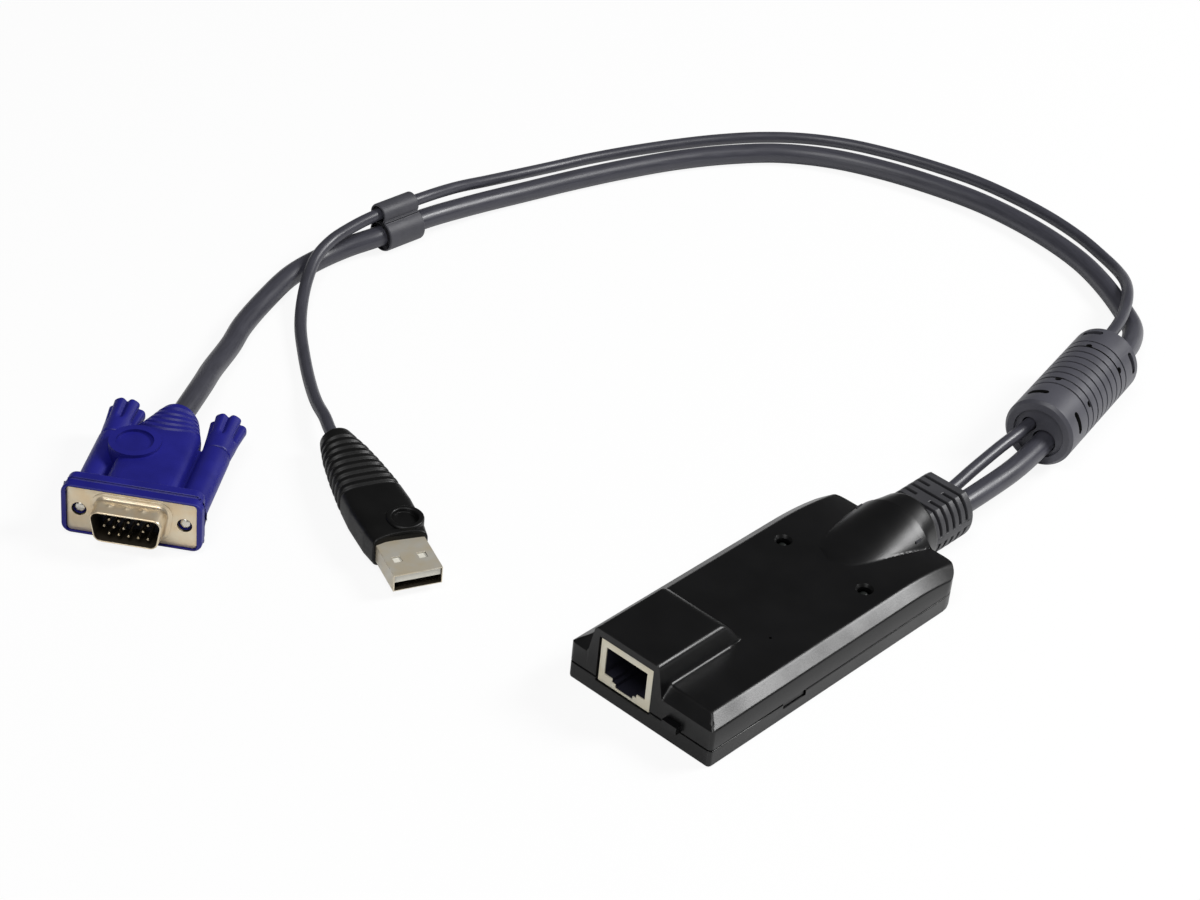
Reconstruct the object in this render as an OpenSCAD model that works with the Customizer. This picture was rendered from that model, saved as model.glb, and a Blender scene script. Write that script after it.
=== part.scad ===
// Keyboard, video and mouse adapter: a housing with a network jack, and two leads
// that end in a video plug and a data plug. The jack faces -Y and the leads leave
// towards +Y. The origin is on the floor, midway between the jack face and the
// gland's end. Lengths are in millimetres.

/* [Housing] */
// Width of the housing
body_w = 42; // [40:1:50]
// Length of the housing from the jack face to its rear edge
body_l = 89; // [86:1:100]
// Height of the flat top
top_z = 12.4; // [11.8:0.1:14]
// Height at which the bevels start
bevel_z = 10; // [9.2:0.1:10.8]
// Width of each long bevel, seen from above
bevel_in = 3.2; // [2:0.1:4.5]
// Width of the front bevel, seen from above
front_bevel_in = 3; // [2:0.1:4]
// Height of the joint between the two shells
parting_z = 4.5; // [4.3:0.1:5]
// Wall of both shells
wall = 1.6; // [1.4:0.1:2]
// Radius of the front corners in plan
front_r = 1; // [0.6:0.1:2]
// Radius of the rear corners in plan
rear_r = 6; // [3:0.5:8]
// How far the flat top falls towards the rear edge
rear_drop = 2.4; // [0.5:0.1:3]
// Length over which it falls
rear_run = 20; // [14:0.5:24]
// Height of the lip that lines the joint
lip_h = 1.3; // [0.8:0.1:2]

/* [Jack hood] */
// Width of the raised hood along its top
hood_w = 19.2; // [18.6:0.1:22]
// Length of the hood's top
hood_l = 22.4; // [21:0.2:28]
// Height of the hood's top
hood_z = 18.2; // [17.8:0.1:20]
// How far the hood's foot stands out on each side
hood_draft = 1.4; // [0.5:0.1:2]
// How far the hood's back slopes
hood_slope = 4.2; // [2:0.2:6]
// Radius of the hood's long edges
hood_r = 1.3; // [0.6:0.1:2]

/* [Network jack] */
// Place of the jack and its hood across the housing
jack_x = -5; // [-6:0.5:-2]
// Width of the metal shield
jack_w = 15.4; // [15.2:0.1:16]
// Height of the metal shield
jack_h = 11.8; // [11.4:0.1:12.2]
// Length of the jack
jack_l = 17; // [15:0.5:19]
// Setback of the shield behind the front face
jack_set = 0.4; // [0.2:0.1:1]
// Thickness of the shield's sheet
shield_t = 0.3; // [0.2:0.05:0.4]
// Width of the mouth for the plug
mouth_w = 12; // [11.7:0.1:12.2]
// Height of the mouth without its latch notch
mouth_h = 7.4; // [6.8:0.1:7.6]
// Depth of the mouth
mouth_l = 12.5; // [11:0.5:13.5]
// Width of the upper step of the latch notch
latch_w = 7.2; // [6.6:0.1:7.6]
// Width of the lower step of the latch notch
latch_low_w = 5.1; // [4:0.1:6]
// Height of each step of the latch notch
latch_h = 1; // [0.6:0.1:1.1]
// Number of contact springs
jack_ways = 8; // [4:1:8]
// Distance between contact springs
jack_pitch = 1.02; // [0.9:0.01:1.27]

/* [Tail and gland] */
// Length of the tail behind the housing's rear edge
tail_l = 5.7; // [4:0.1:8]
// Radius of the gland's rounded sides
gland_r = 8.6; // [8:0.1:9]
// Height of the gland's flats from its axis
gland_flat = 6.8; // [6.2:0.1:7.1]
// Height of the gland's axis
gland_z = 7.2; // [7.2:0.1:7.6]
// Length of the gland outside the tail
gland_l = 14.3; // [13:0.1:17]
// Width of each flex slot
slot_w = 0.9; // [0.6:0.1:1.1]
// Depth of each flex slot
slot_d = 1.4; // [0.8:0.1:1.8]
// Distance between flex slots
slot_pitch = 2.5; // [2.2:0.1:2.7]
// Number of flex slots
slot_n = 5; // [3:1:5]
// Distance from the gland's axis to each lead
lead_x = 2.8; // [2.6:0.1:3.2]

/* [Board] */
// Thickness of the circuit board
board_t = 1.6; // [1:0.1:1.7]
// Height of the board's upper face
board_z = 4; // [3.9:0.1:4.3]
// Length of the circuit board
board_l = 78; // [76:1:80]
// Radius of the posts that hold the board
post_r = 1.8; // [1.5:0.1:2.2]
// Radius of the locating pins on the lower posts
pin_r = 0.9; // [0.7:0.05:1.1]

/* [Slide switch] */
// Place of the switch across the housing
switch_x = 10; // [9:0.5:12]
// Width of the switch's body
switch_w = 8.4; // [7.6:0.1:9]
// Height of the switch's body
switch_h = 3.2; // [3:0.1:3.6]
// Depth of the switch's body
switch_l = 3.6; // [3:0.1:4.5]
// Width of the slider's knob
slider_w = 1.7; // [1.4:0.1:2]
// Height of the slider's knob
slider_h = 1.3; // [1:0.1:1.4]
// Travel of the slider from one end to the other
slider_travel = 2; // [1.5:0.1:2.2]

/* [Status lights] */
// Distance of each light from the middle
light_x = 12.2; // [11:0.1:13]
// Distance of the lights from the front face
light_t = 62.2; // [56:0.5:66]
// Radius of each light
light_r = 1.5; // [1.2:0.1:1.6]
// Depth of the light's tip below the flat top
light_sink = 1.1; // [0.8:0.1:1.6]

/* [Leads] */
// Diameter of the video lead
video_d = 5.6; // [5:0.1:5.8]
// Diameter of the data lead
data_d = 3.2; // [2.8:0.1:3.4]

/* [Ferrite] */
// Radius of the ferrite's cover
ferrite_r = 9.2; // [9:0.1:9.5]
// Length of the ferrite's cover
ferrite_l = 42.5; // [40:0.5:44]
// Radius of the ferrite core
core_r = 7.8; // [7.4:0.1:8]
// Radius of the bore for the leads
core_bore_r = 5.7; // [5.6:0.05:6]
// Length of the ferrite core
core_l = 35; // [30:1:36]
// Number of ring grooves round the cover
ring_n = 9; // [5:1:10]
// Distance between ring grooves
ring_pitch = 3; // [2.4:0.1:3]

/* [Lead clip] */
// Length of the clip
clip_l = 12; // [10:0.5:13]
// Radius of the clip's barrel for the video lead
clip_video_r = 4.5; // [4.3:0.1:4.8]
// Radius of the clip's barrel for the data lead
clip_data_r = 3; // [2.9:0.1:3.2]
// Wall of the clip
clip_wall = 1.1; // [0.8:0.1:1.2]

/* [Video plug] */
// Width of the plug's flange
flange_w = 33.4; // [33:0.1:34]
// Height of the plug's rear flange
flange_h = 14.8; // [14.4:0.1:14.8]
// Thickness of each of the two flange steps
flange_t = 2.6; // [2:0.1:3]
// Length of the plug from its plate to the lead
video_hood_l = 40.5; // [40:0.5:41]
// Width of the hood behind the flange
video_hood_w = 17.2; // [16:0.1:17.4]
// Height of the hood
video_hood_h = 10.6; // [10:0.1:12]
// Radius of the hood's end at the lead
video_tail_r = 4.8; // [4.4:0.1:5]
// Distance between the two thumbscrews
screw_pitch = 24.99; // [24.8:0.01:25.2]
// Radius of the sleeves round the thumbscrews
sleeve_r = 3.6; // [3.4:0.1:3.7]
// Length of the sleeves behind the plate
sleeve_l = 27.5; // [26:0.5:28.5]
// Length of the thumbscrew knobs
knob_l = 12.6; // [12:0.2:14]
// Radius of the knobs at their flared end
knob_r = 4.6; // [4.2:0.1:4.8]
// Radius of the thumbscrew rods
rod_r = 1.42; // [1.3:0.01:1.5]
// Width of the metal plate
plate_w = 30.8; // [30.6:0.1:31]
// Height of the metal plate
plate_h = 12.5; // [12:0.1:12.6]
// Thickness of the plate and its shell
plate_t = 0.5; // [0.4:0.05:0.6]
// Width of the plug's shell at its wide side
shell_w = 17; // [16.8:0.1:17.2]
// Height of the plug's shell
shell_h = 8.4; // [8.3:0.1:8.6]
// How far the shell stands out of the plate
shell_l = 5.7; // [5.4:0.1:6]
// Radius of each contact pin
contact_r = 0.38; // [0.3:0.02:0.42]
// Distance between contact pins in a row
contact_pitch = 2.29; // [2.2:0.01:2.35]
// Distance between rows of contact pins
row_pitch = 1.98; // [1.9:0.01:2.1]

/* [Data plug] */
// Width of the metal shell
data_shell_w = 12; // [11.8:0.1:12.1]
// Height of the metal shell
data_shell_h = 4.5; // [4.4:0.1:4.6]
// Length of the metal shell outside the hood
data_shell_l = 11.8; // [11.4:0.1:12.4]
// Thickness of the shell's sheet
data_shell_t = 0.32; // [0.25:0.01:0.4]
// Height of the plastic tongue
tongue_h = 1.9; // [1.8:0.05:2]
// Length of the plug from its mouth to the lead
data_plug_l = 58; // [57.5:0.5:59]
// Width of the hood at its mouth end
data_front_w = 13.6; // [13:0.1:14]
// Width of the hood at its widest
data_hood_w = 15.8; // [15.2:0.1:16.6]
// Height of the hood
data_hood_h = 8.6; // [8:0.1:8.6]
// Radius of the hood's end at the lead
data_tail_r = 3.7; // [3.4:0.1:4]
// Number of grooves round the tapered end
groove_n = 9; // [5:1:9]
// Distance between those grooves
groove_pitch = 2.6; // [2.4:0.05:2.65]

/* [Fits] */
// Gap between pieces that are fitted together
fit = 0.1; // [0.05:0.01:0.15]
// Gap round pieces that slide or turn
play = 0.15; // [0.1:0.01:0.2]
// Gap round the jack and the switch in the housing
window_gap = 0.3; // [0.2:0.05:0.4]

/* [Hidden] */
$fn = 48;
// Overrun of cutting shapes past what they cut
over = 1;
black = "#17171a";
board_green = "#1f5c3a";
metal = "#c9c9c4";
gold = "#c9a24a";
rubber = "#3a3a40";
lead_grey = "#4a4a55";
blue = "#26268a";

// Places along and across the housing
front_y = -(body_l + tail_l + gland_l) / 2;
rear_y = front_y + body_l;
tail_y = rear_y + tail_l;
half_w = body_w / 2;
inner_rear_y = rear_y - wall;
lip_top = parting_z + lip_h;
ceiling_z = top_z - wall;
bevel_front_y = front_y + front_bevel_in;
arch_y = rear_y - rear_run;
arch_r = (rear_run * rear_run + rear_drop * rear_drop) / (2 * rear_drop);
board_under = board_z - board_t;
board_w = body_w - 4 * wall;
board_y = front_y + wall + window_gap;
// Places on the board, as shares of half its width and of its length
post_shares = [[-0.865, 0.25], [0.865, 0.25], [-0.865, 0.93], [0.865, 0.93]];
function on_board(share) = [share[0] * board_w / 2, board_y + share[1] * board_l];
posts = [for (share = post_shares) on_board(share)];

// Hump over the tail: a cylinder whose axis is tilted, cut off at its sides
hump_r = 21.8;
hump_l = 23.7;
hump_rise = 3.84;
hump_w = 21.6;
hump_y = rear_y - hump_l;
hump_tilt = atan(hump_rise / hump_l);

// Tail and the gland's neck and flange
collar_step = 0.5;
neck_step = 0.8;
collar_r = gland_r + collar_step;
neck_r = gland_r - neck_step;
neck_flat = 5.2;
flange_plate_w = 18.4;
flange_plate_h = 10.8;
flange_plate_l = 2.2;
gland_start = inner_rear_y - flange_plate_l;
slot_first = 1.4;
slot_low = 1;
bridge_w = 4;
tail_slice = 0.2;

// Network jack
jack_y = front_y + jack_set;
jack_top = board_z + jack_h;
mouth_drop = 1.9;
mouth_top = jack_top - mouth_drop;
mouth_z = mouth_top - mouth_h;
insulator_l = 14.4;
insulator_y = jack_y + shield_t + fit;
spring_w = 0.42;
spring_t = 0.3;
spring_drop = 2.2;
spring_l = 9;
spring_set = 0.6;
comb_h = 0.9;

// Slide switch, its window and the snaps of the two shells
switch_back_gap = 0.2;
switch_y = front_y + wall + switch_back_gap;
slider_z = board_z + switch_h / 2;
slider_plate_w = 3.4;
slider_plate_h = 2;
slider_plate_l = 1.2;
slider_face = 0.5;
slider_set = 0.3;
window_w = slider_w + slider_travel + 2 * window_gap;
window_h = slider_h + 2 * window_gap;
snap_first = 24.5;
snap_y = front_y + snap_first;
snap_l = 7.8;
snap_z = 3.1;
snap_t = 0.8;
pin_rise = 0.5;
snap_set = 0.4;

// Lights
light_y = front_y + light_t;
light_top = top_z - light_sink;
light_flange_out = 0.25;
light_flange_r = light_r + light_flange_out;
light_flange_h = 0.6;
spacer_h = 2.6;
light_body_z = board_z + spacer_h;
spacer_bore_r = 1.1;
leg_pitch = 1.27;
leg_w = 0.45;
chamfer_h = 0.6;
pinhole_share = [0.452, 0.36];
pinhole_at = [pinhole_share[0] * half_w, front_y + pinhole_share[1] * body_l];
pinhole_r = 0.35;

// Parts on the board: width, length and height, and each centre's place as shares of the board
processor_size = [10, 10, 1.5];
processor_share = [0.225, 0.405];
memory_size = [5.2, 4, 1.5];
memory_share = [-0.5, 0.39];
driver_size = [5, 4, 1.5];
driver_shares = [[-0.62, 0.57], [0.67, 0.57]];
leg_size = [0.3, 0.9, 0.25];
leg_gap = 0.8;
leg_margin = 0.5;
chip_cap_size = [1.6, 0.8, 0.8];
chip_cap_shares = [[-0.22, 0.28], [-0.06, 0.28], [0.11, 0.28], [-0.79, 0.47], [-0.79, 0.5],
    [0.79, 0.42], [0.79, 0.46], [-0.17, 0.73], [0, 0.73], [0.17, 0.73]];
can_r = 2.5;
can_h = 5.4;
can_shares = [[0.472, 0.15], [0.472, 0.24]];
crystal_size = [10.8, 4.6, 3.4];
crystal_share = [0, 0.57];
header_set = 7.9;
header_y = board_y + board_l - header_set;
header_l = 4;
header_h = 6.4;
video_header_w = 10;
data_header_w = 6;
header_wall = 1;
wire_up = 4;
wire_z = board_z + wire_up;
video_header_x = 4.6;
data_header_x = -6.8;
video_wire_d = 3.2;
data_wire_d = 2.4;

// Ferrite and clip
ring_depth = 0.4;
ring_w = 0.5;
ring_first = (ferrite_l - (ring_n - 1) * ring_pitch - ring_w) / 2;
edge_cut = 0.8;
// The rings, slots and holes are centred this far from the middle, towards the plugs
mark_off = 1;
grip_slot_at = 17;
grip_slot_l = 4.2;
grip_slot_r = 0.8;
grip_slot_turn = -25;
peg_hole_at = 9.6;
peg_hole_r = 0.8;
peg_hole_turns = [-11, 55, 169, 235];
end_set = 0.8;
end_t = 1.2;
end_r = 6.6;
lead_gap = 0.3;
// Places of the two leads in the ferrite, across its axis
video_in_ferrite = [1.56, -2.2];
data_in_ferrite = [-2.98, 1.2];
clip_mouth_l = 1.2;
clip_mouth_r = 0.5;

// Video plug, measured from the front of its metal plate
lip_out = 0.6;
flange_r = 2.4;
plate_r = 1;
flange_back_in = 1;
video_web_h = 3;
video_web_in = 1;
rod_set = 0.4;
rod_l = 38;
knob_gap = 0.6;
knob_front_r = 3.5;
lobe_n = 6;
lobe_r = 1.3;
lobe_out = 0.5;
lobe_first = 5;
screw_hole_r = 1.8;
shell_r = 2.2;
shell_slope = 10;
pin_out = 5;
pin_in = 6;
block_in = 6.4;
block_clear = 0.4;
video_boss_share = [-0.616, 0.531];
video_boss = [video_boss_share[0] * video_hood_w / 2, video_boss_share[1] * video_hood_l];
video_boss_r = 6.2;
video_boss_rim = 1.7;
boss_rise = 0.8;
boss_sink = 0.7;
key_pin = [3, 1];

// Data plug, measured from its mouth
shell_in = 6;
tongue_set = 0.4;
tongue_in = 5;
square_hole = 2;
square_hole_share = [0.517, 0.49];
square_hole_at = [square_hole_share[0] * data_shell_w / 2, square_hole_share[1] * data_shell_l];
strip_w = 1;
strip_t = 0.2;
strip_pitch = 2.3;
strip_set = 1.2;
data_boss_share = [0.4, 0.307];
data_boss = [data_boss_share[0] * data_hood_w / 2, data_boss_share[1] * data_plug_l];
data_boss_r = 4.5;
data_boss_rim = 1.2;
groove_w = 1;
groove_d = 0.45;
groove_first = 21.2;
video_groove_n = 5;
video_groove_pitch = 2.2;
video_groove_first = 30.2;

// Route of the video lead from the gland to the video plug
video_route = [[2.8, 54.5, 7.2], [2.8, 66, 7.2], [2.2, 80, 7.1], [0, 94.5, 7], [-4.4, 115.3, 7],
    [-8.9, 136.1, 7], [-11.2, 146, 6.2], [-14.8, 155.5, 4.4], [-19.5, 163, 3.1], [-26, 168.2, 2.8],
    [-37, 175, 2.8], [-48, 180, 2.8], [-60, 183, 2.8], [-73, 184.4, 2.8], [-87, 184, 2.8],
    [-101, 181.2, 2.8], [-116, 176.5, 2.8], [-130, 169.6, 2.8], [-141.5, 160, 2.8],
    [-150, 148, 2.8], [-157, 134.5, 2.8], [-162.8, 119.5, 2.8], [-168, 103, 2.8],
    [-172.5, 86, 2.8], [-175.6, 70, 3.5], [-177.6, 53, 4.5], [-178.8, 36.5, 4.5],
    [-181, 28, 3.7], [-182.3, 19, 2.8], [-181, 7.5, 2.8], [-176.7, -5, 2.8], [-170.8, -18.5, 2.8],
    [-165.6, -27, 3.2], [-158.1, -39.9, 5], [-153.7, -46.3, 6.3], [-149.6, -52.8, 7.2],
    [-144.08, -62.73, 7.4]];
// Route of the data lead from the gland to the data plug
data_route = [[-2.8, 54.5, 7.2], [-2.8, 60, 7.2], [-3.3, 70, 8.5], [-3.8, 81, 9.7],
    [-4.5, 93.6, 10.4], [-8.9, 114.4, 10.4], [-13.3, 135.2, 10.4], [-15.6, 144.5, 10],
    [-18.5, 153.5, 9.1], [-22, 161.5, 8.2], [-26.3, 169.2, 7.5], [-32, 177, 5.6],
    [-39, 183.8, 3.3], [-47.5, 189, 1.9], [-58, 192.9, 1.6], [-70, 195.1, 1.6], [-83, 195.7, 1.6],
    [-96, 194.8, 1.6], [-109, 191.8, 1.6], [-121.5, 187.6, 1.6], [-133, 182.2, 1.6],
    [-143.5, 174.5, 1.6], [-152, 165, 1.6], [-159, 154, 1.6], [-165, 142, 1.6],
    [-170.3, 129.5, 1.6], [-175, 116.5, 1.6], [-178.2, 103.5, 2], [-179.6, 91, 3.5],
    [-180, 79, 5.6], [-179.8, 66.5, 8.2], [-179.2, 53, 10.2], [-180.4, 36.5, 10.2],
    [-181, 29, 9.3], [-181, 21.7, 8], [-179, 14.5, 6.6], [-175.3, 8.2, 4.8], [-170, 1.5, 2.9],
    [-162.5, -6, 1.7], [-153, -13.6, 1.6], [-142.5, -21.2, 1.7], [-132.9, -27.6, 3],
    [-125.6, -31.6, 4.2], [-121.3, -34.1, 4.3], [-117.14, -36.08, 4.3]];
// Routes of the wires inside the housing, from the gland to the headers
video_wire_route = [[lead_x, gland_start, gland_z], [lead_x, 29, gland_z], [3.6, 26, 7.8],
    [video_header_x, 23.5, wire_z], [video_header_x, header_y + header_l, wire_z]];
data_wire_route = [[-lead_x, gland_start, gland_z], [-lead_x, 29, gland_z], [-4.8, 26, 7.8],
    [data_header_x, 23.5, wire_z], [data_header_x, header_y + header_l, wire_z]];

// Where the pieces on the leads lie, and how they are turned
ferrite_place = [-6, 115, ferrite_r];
ferrite_turn = 12;
clip_place = [-178.27, 43.6, clip_video_r];
clip_turn = -4.16;
clip_data_off = [-1.6, 5.7];
video_place = [-121.2, -96.15, flange_h / 2];
video_turn = 34.4;
data_place = [-64.07, -59.49, data_hood_h / 2];
data_turn = 66.2;

// Sections of the two plug hoods, as shares of the hood's length, width and height, and their
// roundness, where 1 is an ellipse and less is squarer
video_shares = [[0.1, 1, 1, 0.35], [0.55, 1, 1, 0.4], [0.66, 0.99, 0.98, 0.5],
    [0.75, 0.93, 0.97, 0.6], [0.85, 0.8, 0.95, 0.75], [0.93, 0.7, 0.93, 0.9], [1, 0.6, 0.91, 1]];
data_shares = [[0.02, 0.86, 0.98, 0.4], [0.11, 0.95, 1, 0.45], [0.31, 1, 1, 0.5], [0.5, 0.96, 1, 0.6],
    [0.675, 0.865, 0.98, 0.7], [0.83, 0.745, 0.95, 0.85], [0.94, 0.6, 0.9, 1], [1, 0.5, 0.87, 1]];
data_front_share = 0.9;
data_front_round_share = 0.4;

// A round corner as points: centre, radius and the two end angles
corner_steps = 6;
function corner(cx, cy, r, a0, a1) = [for (i = [0:corner_steps])
    let (a = a0 + (a1 - a0) * i / corner_steps) [cx + r * cos(a), cy + r * sin(a)]];
// Plan of the housing, drawn in by an inset
function plan(inset) = let (w = half_w - inset, y0 = front_y + inset, y1 = rear_y - inset,
    a = max(front_r - inset, front_r / 4), b = max(rear_r - inset, rear_r / 4)) concat(
    corner(w - a, y0 + a, a, -90, 0), corner(w - b, y1 - b, b, 0, 90),
    corner(b - w, y1 - b, b, 90, 180), corner(a - w, y0 + a, a, 180, 270));
// A rectangle with round corners, about the origin
function round_box(w, h, r) = concat(corner(w / 2 - r, r - h / 2, r, -90, 0),
    corner(w / 2 - r, h / 2 - r, r, 0, 90), corner(r - w / 2, h / 2 - r, r, 90, 180),
    corner(r - w / 2, r - h / 2, r, 180, 270));
// Outline of the video plug's shell, wide side up, drawn in by an inset
function d_outline(inset) = let (w = shell_w - 2 * inset, h = shell_h - 2 * inset,
    r = shell_r - inset, a = shell_slope, top_x = w / 2 - r, low_x = top_x - (h - 2 * r) * tan(a))
    concat(corner(low_x, r - h / 2, r, -90, -a), corner(top_x, h / 2 - r, r, -a, 90),
    corner(-top_x, h / 2 - r, r, 90, 180 + a), corner(-low_x, r - h / 2, r, 180 + a, 270));

// A closed skin over rings of points, all with the same number of points
module skin(rings) {
    n = len(rings[0]);
    last = (len(rings) - 1) * n;
    walls = [for (i = [0:len(rings) - 2], k = [0:n - 1]) let (a = i * n + k, b = i * n + (k + 1) % n)
        each [[a, b, b + n], [a, b + n, a + n]]];
    start = [for (k = [1:n - 2]) [0, k + 1, k]];
    end = [for (k = [1:n - 2]) [last, last + k, last + k + 1]];
    polyhedron([for (r = rings) each r], concat(walls, start, end));
}
// Sweep of a round cord along its route
function unit(v) = v / norm(v);
function heading(p, i) = unit(p[min(i + 1, len(p) - 1)] - p[max(i - 1, 0)]);
function ring(p, i, r, n) = let (t = heading(p, i), s = unit(cross(t, [0, 0, 1])), u = cross(s, t))
    [for (k = [0:n - 1]) p[i] + r * (cos(360 * k / n) * s + sin(360 * k / n) * u)];
module cord(route, d, sides) {
    skin([for (i = [0:len(route) - 1]) ring(route, i, d / 2, sides)]);
}
// Ring of points of a hood's section at a place along it, from its half width and half height
hood_sides = 28;
function bent(v, p) = sign(v) * pow(abs(v), p);
function section(y, w, h, p) = [for (k = [0:hood_sides - 1]) let (a = 360 * k / hood_sides)
    [w * bent(cos(a), p), y, h * bent(sin(a), p)]];
// The same from the table of shares, where a groove sinks it
function share_of(shares, t, column) = lookup(t, [for (s = shares) [s[0], s[column]]]);
function hood_ring(shares, y, y0, size, sink) = let (t = (y - y0) / size[1]) section(y,
    share_of(shares, t, 1) * size[0] / 2 - sink, share_of(shares, t, 2) * size[2] / 2 - sink,
    share_of(shares, t, 3));
// Rings of the smooth part up to the first groove, then three for each groove
function hood_rings(shares, y0, size, first, n, pitch) = concat(
    [for (s = shares) if (y0 + s[0] * size[1] < first - groove_w)
        hood_ring(shares, y0 + s[0] * size[1], y0, size, 0)],
    [for (i = [0:n - 1], side = [-1, 0, 1])
        hood_ring(shares, first + i * pitch + side * groove_w / 2, y0, size, side == 0 ? groove_d : 0)]);

// A box by the middle of its width and its lowest corner otherwise
module slab(x, y, z, w, l, h) {
    translate([x - w / 2, y, z]) cube([w, l, h]);
}
// A prism along Y from a profile in X and Z
module along_y(y, l) {
    translate([0, y + l, 0]) rotate([90, 0, 0]) linear_extrude(l) children();
}
// A prism along X from a profile in Y and Z
module along_x(x, l) {
    translate([x, 0, 0]) rotate([90, 0, 90]) linear_extrude(l) children();
}
// A round bar along Y
module bar_y(x, y, z, r, l) {
    translate([x, y + l, z]) rotate([90, 0, 0]) cylinder(r = r, h = l);
}
// Frames of the pieces on the leads
module at_ferrite() {
    translate(ferrite_place) rotate([0, 0, ferrite_turn]) children();
}
module at_clip() {
    translate(clip_place) rotate([0, 0, clip_turn]) children();
}
module at_video_plug() {
    translate(video_place) rotate([0, 0, video_turn]) children();
}
module at_data_plug() {
    translate(data_place) rotate([0, 0, data_turn]) children();
}

// Hood over the jack, with draft, round edges and a sloped back
module hood_block() {
    top_x = hood_w / 2 - hood_r;
    back_y = front_y + hood_l;
    foot_y = back_y + hood_slope;
    difference() {
        along_y(front_y, hood_l + hood_slope) translate([jack_x, 0]) polygon(concat(
            [[-hood_w / 2 - hood_draft, bevel_z], [hood_w / 2 + hood_draft, bevel_z]],
            corner(top_x, hood_z - hood_r, hood_r, 0, 90), corner(-top_x, hood_z - hood_r, hood_r, 90, 180)));
        along_x(-half_w, body_w) polygon([[back_y, hood_z + over], [back_y, hood_z], [foot_y, top_z],
            [foot_y + over, top_z], [foot_y + over, hood_z + over]]);
    }
}
// Hump over the tail
module hump_block() {
    intersection() {
        translate([0, hump_y, top_z]) rotate([hump_tilt - 90, 0, 0]) translate([0, hump_r, -over])
            cylinder(r = hump_r, h = 2 * hump_l, $fn = 96);
        slab(0, hump_y, ceiling_z, hump_w, hump_l, 2 * hump_rise + wall);
    }
}
// Outline across the hump at the housing's rear edge
function hump_end() = [for (i = [-6:6]) let (x = hump_w / 2 * i / 6)
    [x, top_z + hump_rise + sqrt(hump_r * hump_r - x * x) - hump_r]];
// Tail between the housing's rear edge and the gland, cut flat at the floor
module tail_block() {
    intersection() {
        hull() {
            along_y(rear_y - tail_slice, tail_slice)
                polygon(concat([[hump_w / 2, 0], [-hump_w / 2, 0]], hump_end()));
            bar_y(0, tail_y - tail_slice, gland_z, collar_r, tail_slice, $fn = 32);
        }
        slab(0, rear_y - over, 0, body_w, tail_l + 2 * over, 2 * top_z);
    }
}
// Section of the gland: a circle cut flat above and below
module gland_section(r, flat) {
    intersection() {
        circle(r);
        square([2 * r + over, 2 * flat], center = true);
    }
}
module gland_room(gap) {
    along_y(gland_start, tail_y + over - gland_start) translate([0, gland_z])
        gland_section(neck_r + gap, neck_flat + gap);
    slab(0, gland_start - gap, gland_z - flange_plate_h / 2 - gap, flange_plate_w + 2 * gap,
        flange_plate_l + 2 * gap, flange_plate_h + 2 * gap);
}
// Openings of both shells at the front: the jack and the switch
module front_openings() {
    slab(jack_x, front_y - over, board_z - window_gap, jack_w + 2 * window_gap,
        jack_set + jack_l + window_gap + over, jack_h + 2 * window_gap);
    slab(switch_x, front_y - over, slider_z - window_h / 2, window_w, wall + 2 * over, window_h);
    slab(switch_x, front_y + wall / 2, board_z - window_gap, switch_w + 2 * window_gap,
        wall / 2 + over, switch_h + 2 * window_gap);
}

// What lies under the flat top and the arch behind it, drawn in by an inset
module under_arch(inset) {
    slab(0, front_y - over, -over, body_w + 2 * over, arch_y - front_y + over, top_z + over - inset);
    translate([-half_w - over, arch_y, top_z - arch_r]) rotate([0, 90, 0])
        cylinder(r = arch_r - inset, h = body_w + 2 * over, $fn = 720);
}

module top_cover() color(black) {
    difference() {
        union() {
            difference() {
                intersection() {
                    translate([0, 0, parting_z]) linear_extrude(top_z - parting_z) polygon(plan(0));
                    under_arch(0);
                }
                for (s = [-1, 1]) along_y(front_y - over, body_l + 2 * over)
                    polygon([[s * half_w, bevel_z], [s * (half_w - bevel_in), top_z],
                        [s * (half_w - bevel_in), top_z + over], [s * (half_w + over), top_z + over],
                        [s * (half_w + over), bevel_z]]);
                along_x(-half_w - over, body_w + 2 * over) polygon([[front_y, bevel_z],
                    [bevel_front_y, top_z], [bevel_front_y, top_z + over],
                    [front_y - over, top_z + over], [front_y - over, bevel_z]]);
            }
            hood_block();
            hump_block();
            difference() {
                tail_block();
                slab(0, rear_y - 2 * over, -over, body_w, tail_l + 4 * over, parting_z + over);
            }
        }
        intersection() {
            translate([0, 0, parting_z - over]) linear_extrude(ceiling_z - parting_z + over) polygon(plan(wall));
            under_arch(wall);
        }
        translate([0, 0, parting_z - over]) linear_extrude(lip_h + fit + over) polygon(plan(wall / 2));
        gland_room(fit);
        front_openings();
        for (s = [-1, 1]) translate([s * light_x, light_y, 0]) {
            translate([0, 0, parting_z]) cylinder(r = light_r + fit, h = top_z);
            translate([0, 0, top_z - chamfer_h])
                cylinder(r1 = light_r + fit, r2 = light_r + 2 * chamfer_h, h = 2 * chamfer_h);
        }
        translate([pinhole_at[0], pinhole_at[1], ceiling_z - over])
            cylinder(r = pinhole_r, h = wall + 2 * over);
    }
    for (p = posts) translate([p[0], p[1], board_z + fit]) difference() {
        cylinder(r = post_r, h = ceiling_z - board_z);
        translate([0, 0, -over]) cylinder(r = pin_r + fit, h = 2 * over + fit);
    }
    for (s = [-1, 1]) translate([s * (half_w - snap_set - snap_t / 2), 0, 0])
        slab(0, snap_y + window_gap, snap_z + window_gap, snap_t, snap_l - 2 * window_gap,
            lip_top + over - snap_z);
}

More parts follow.
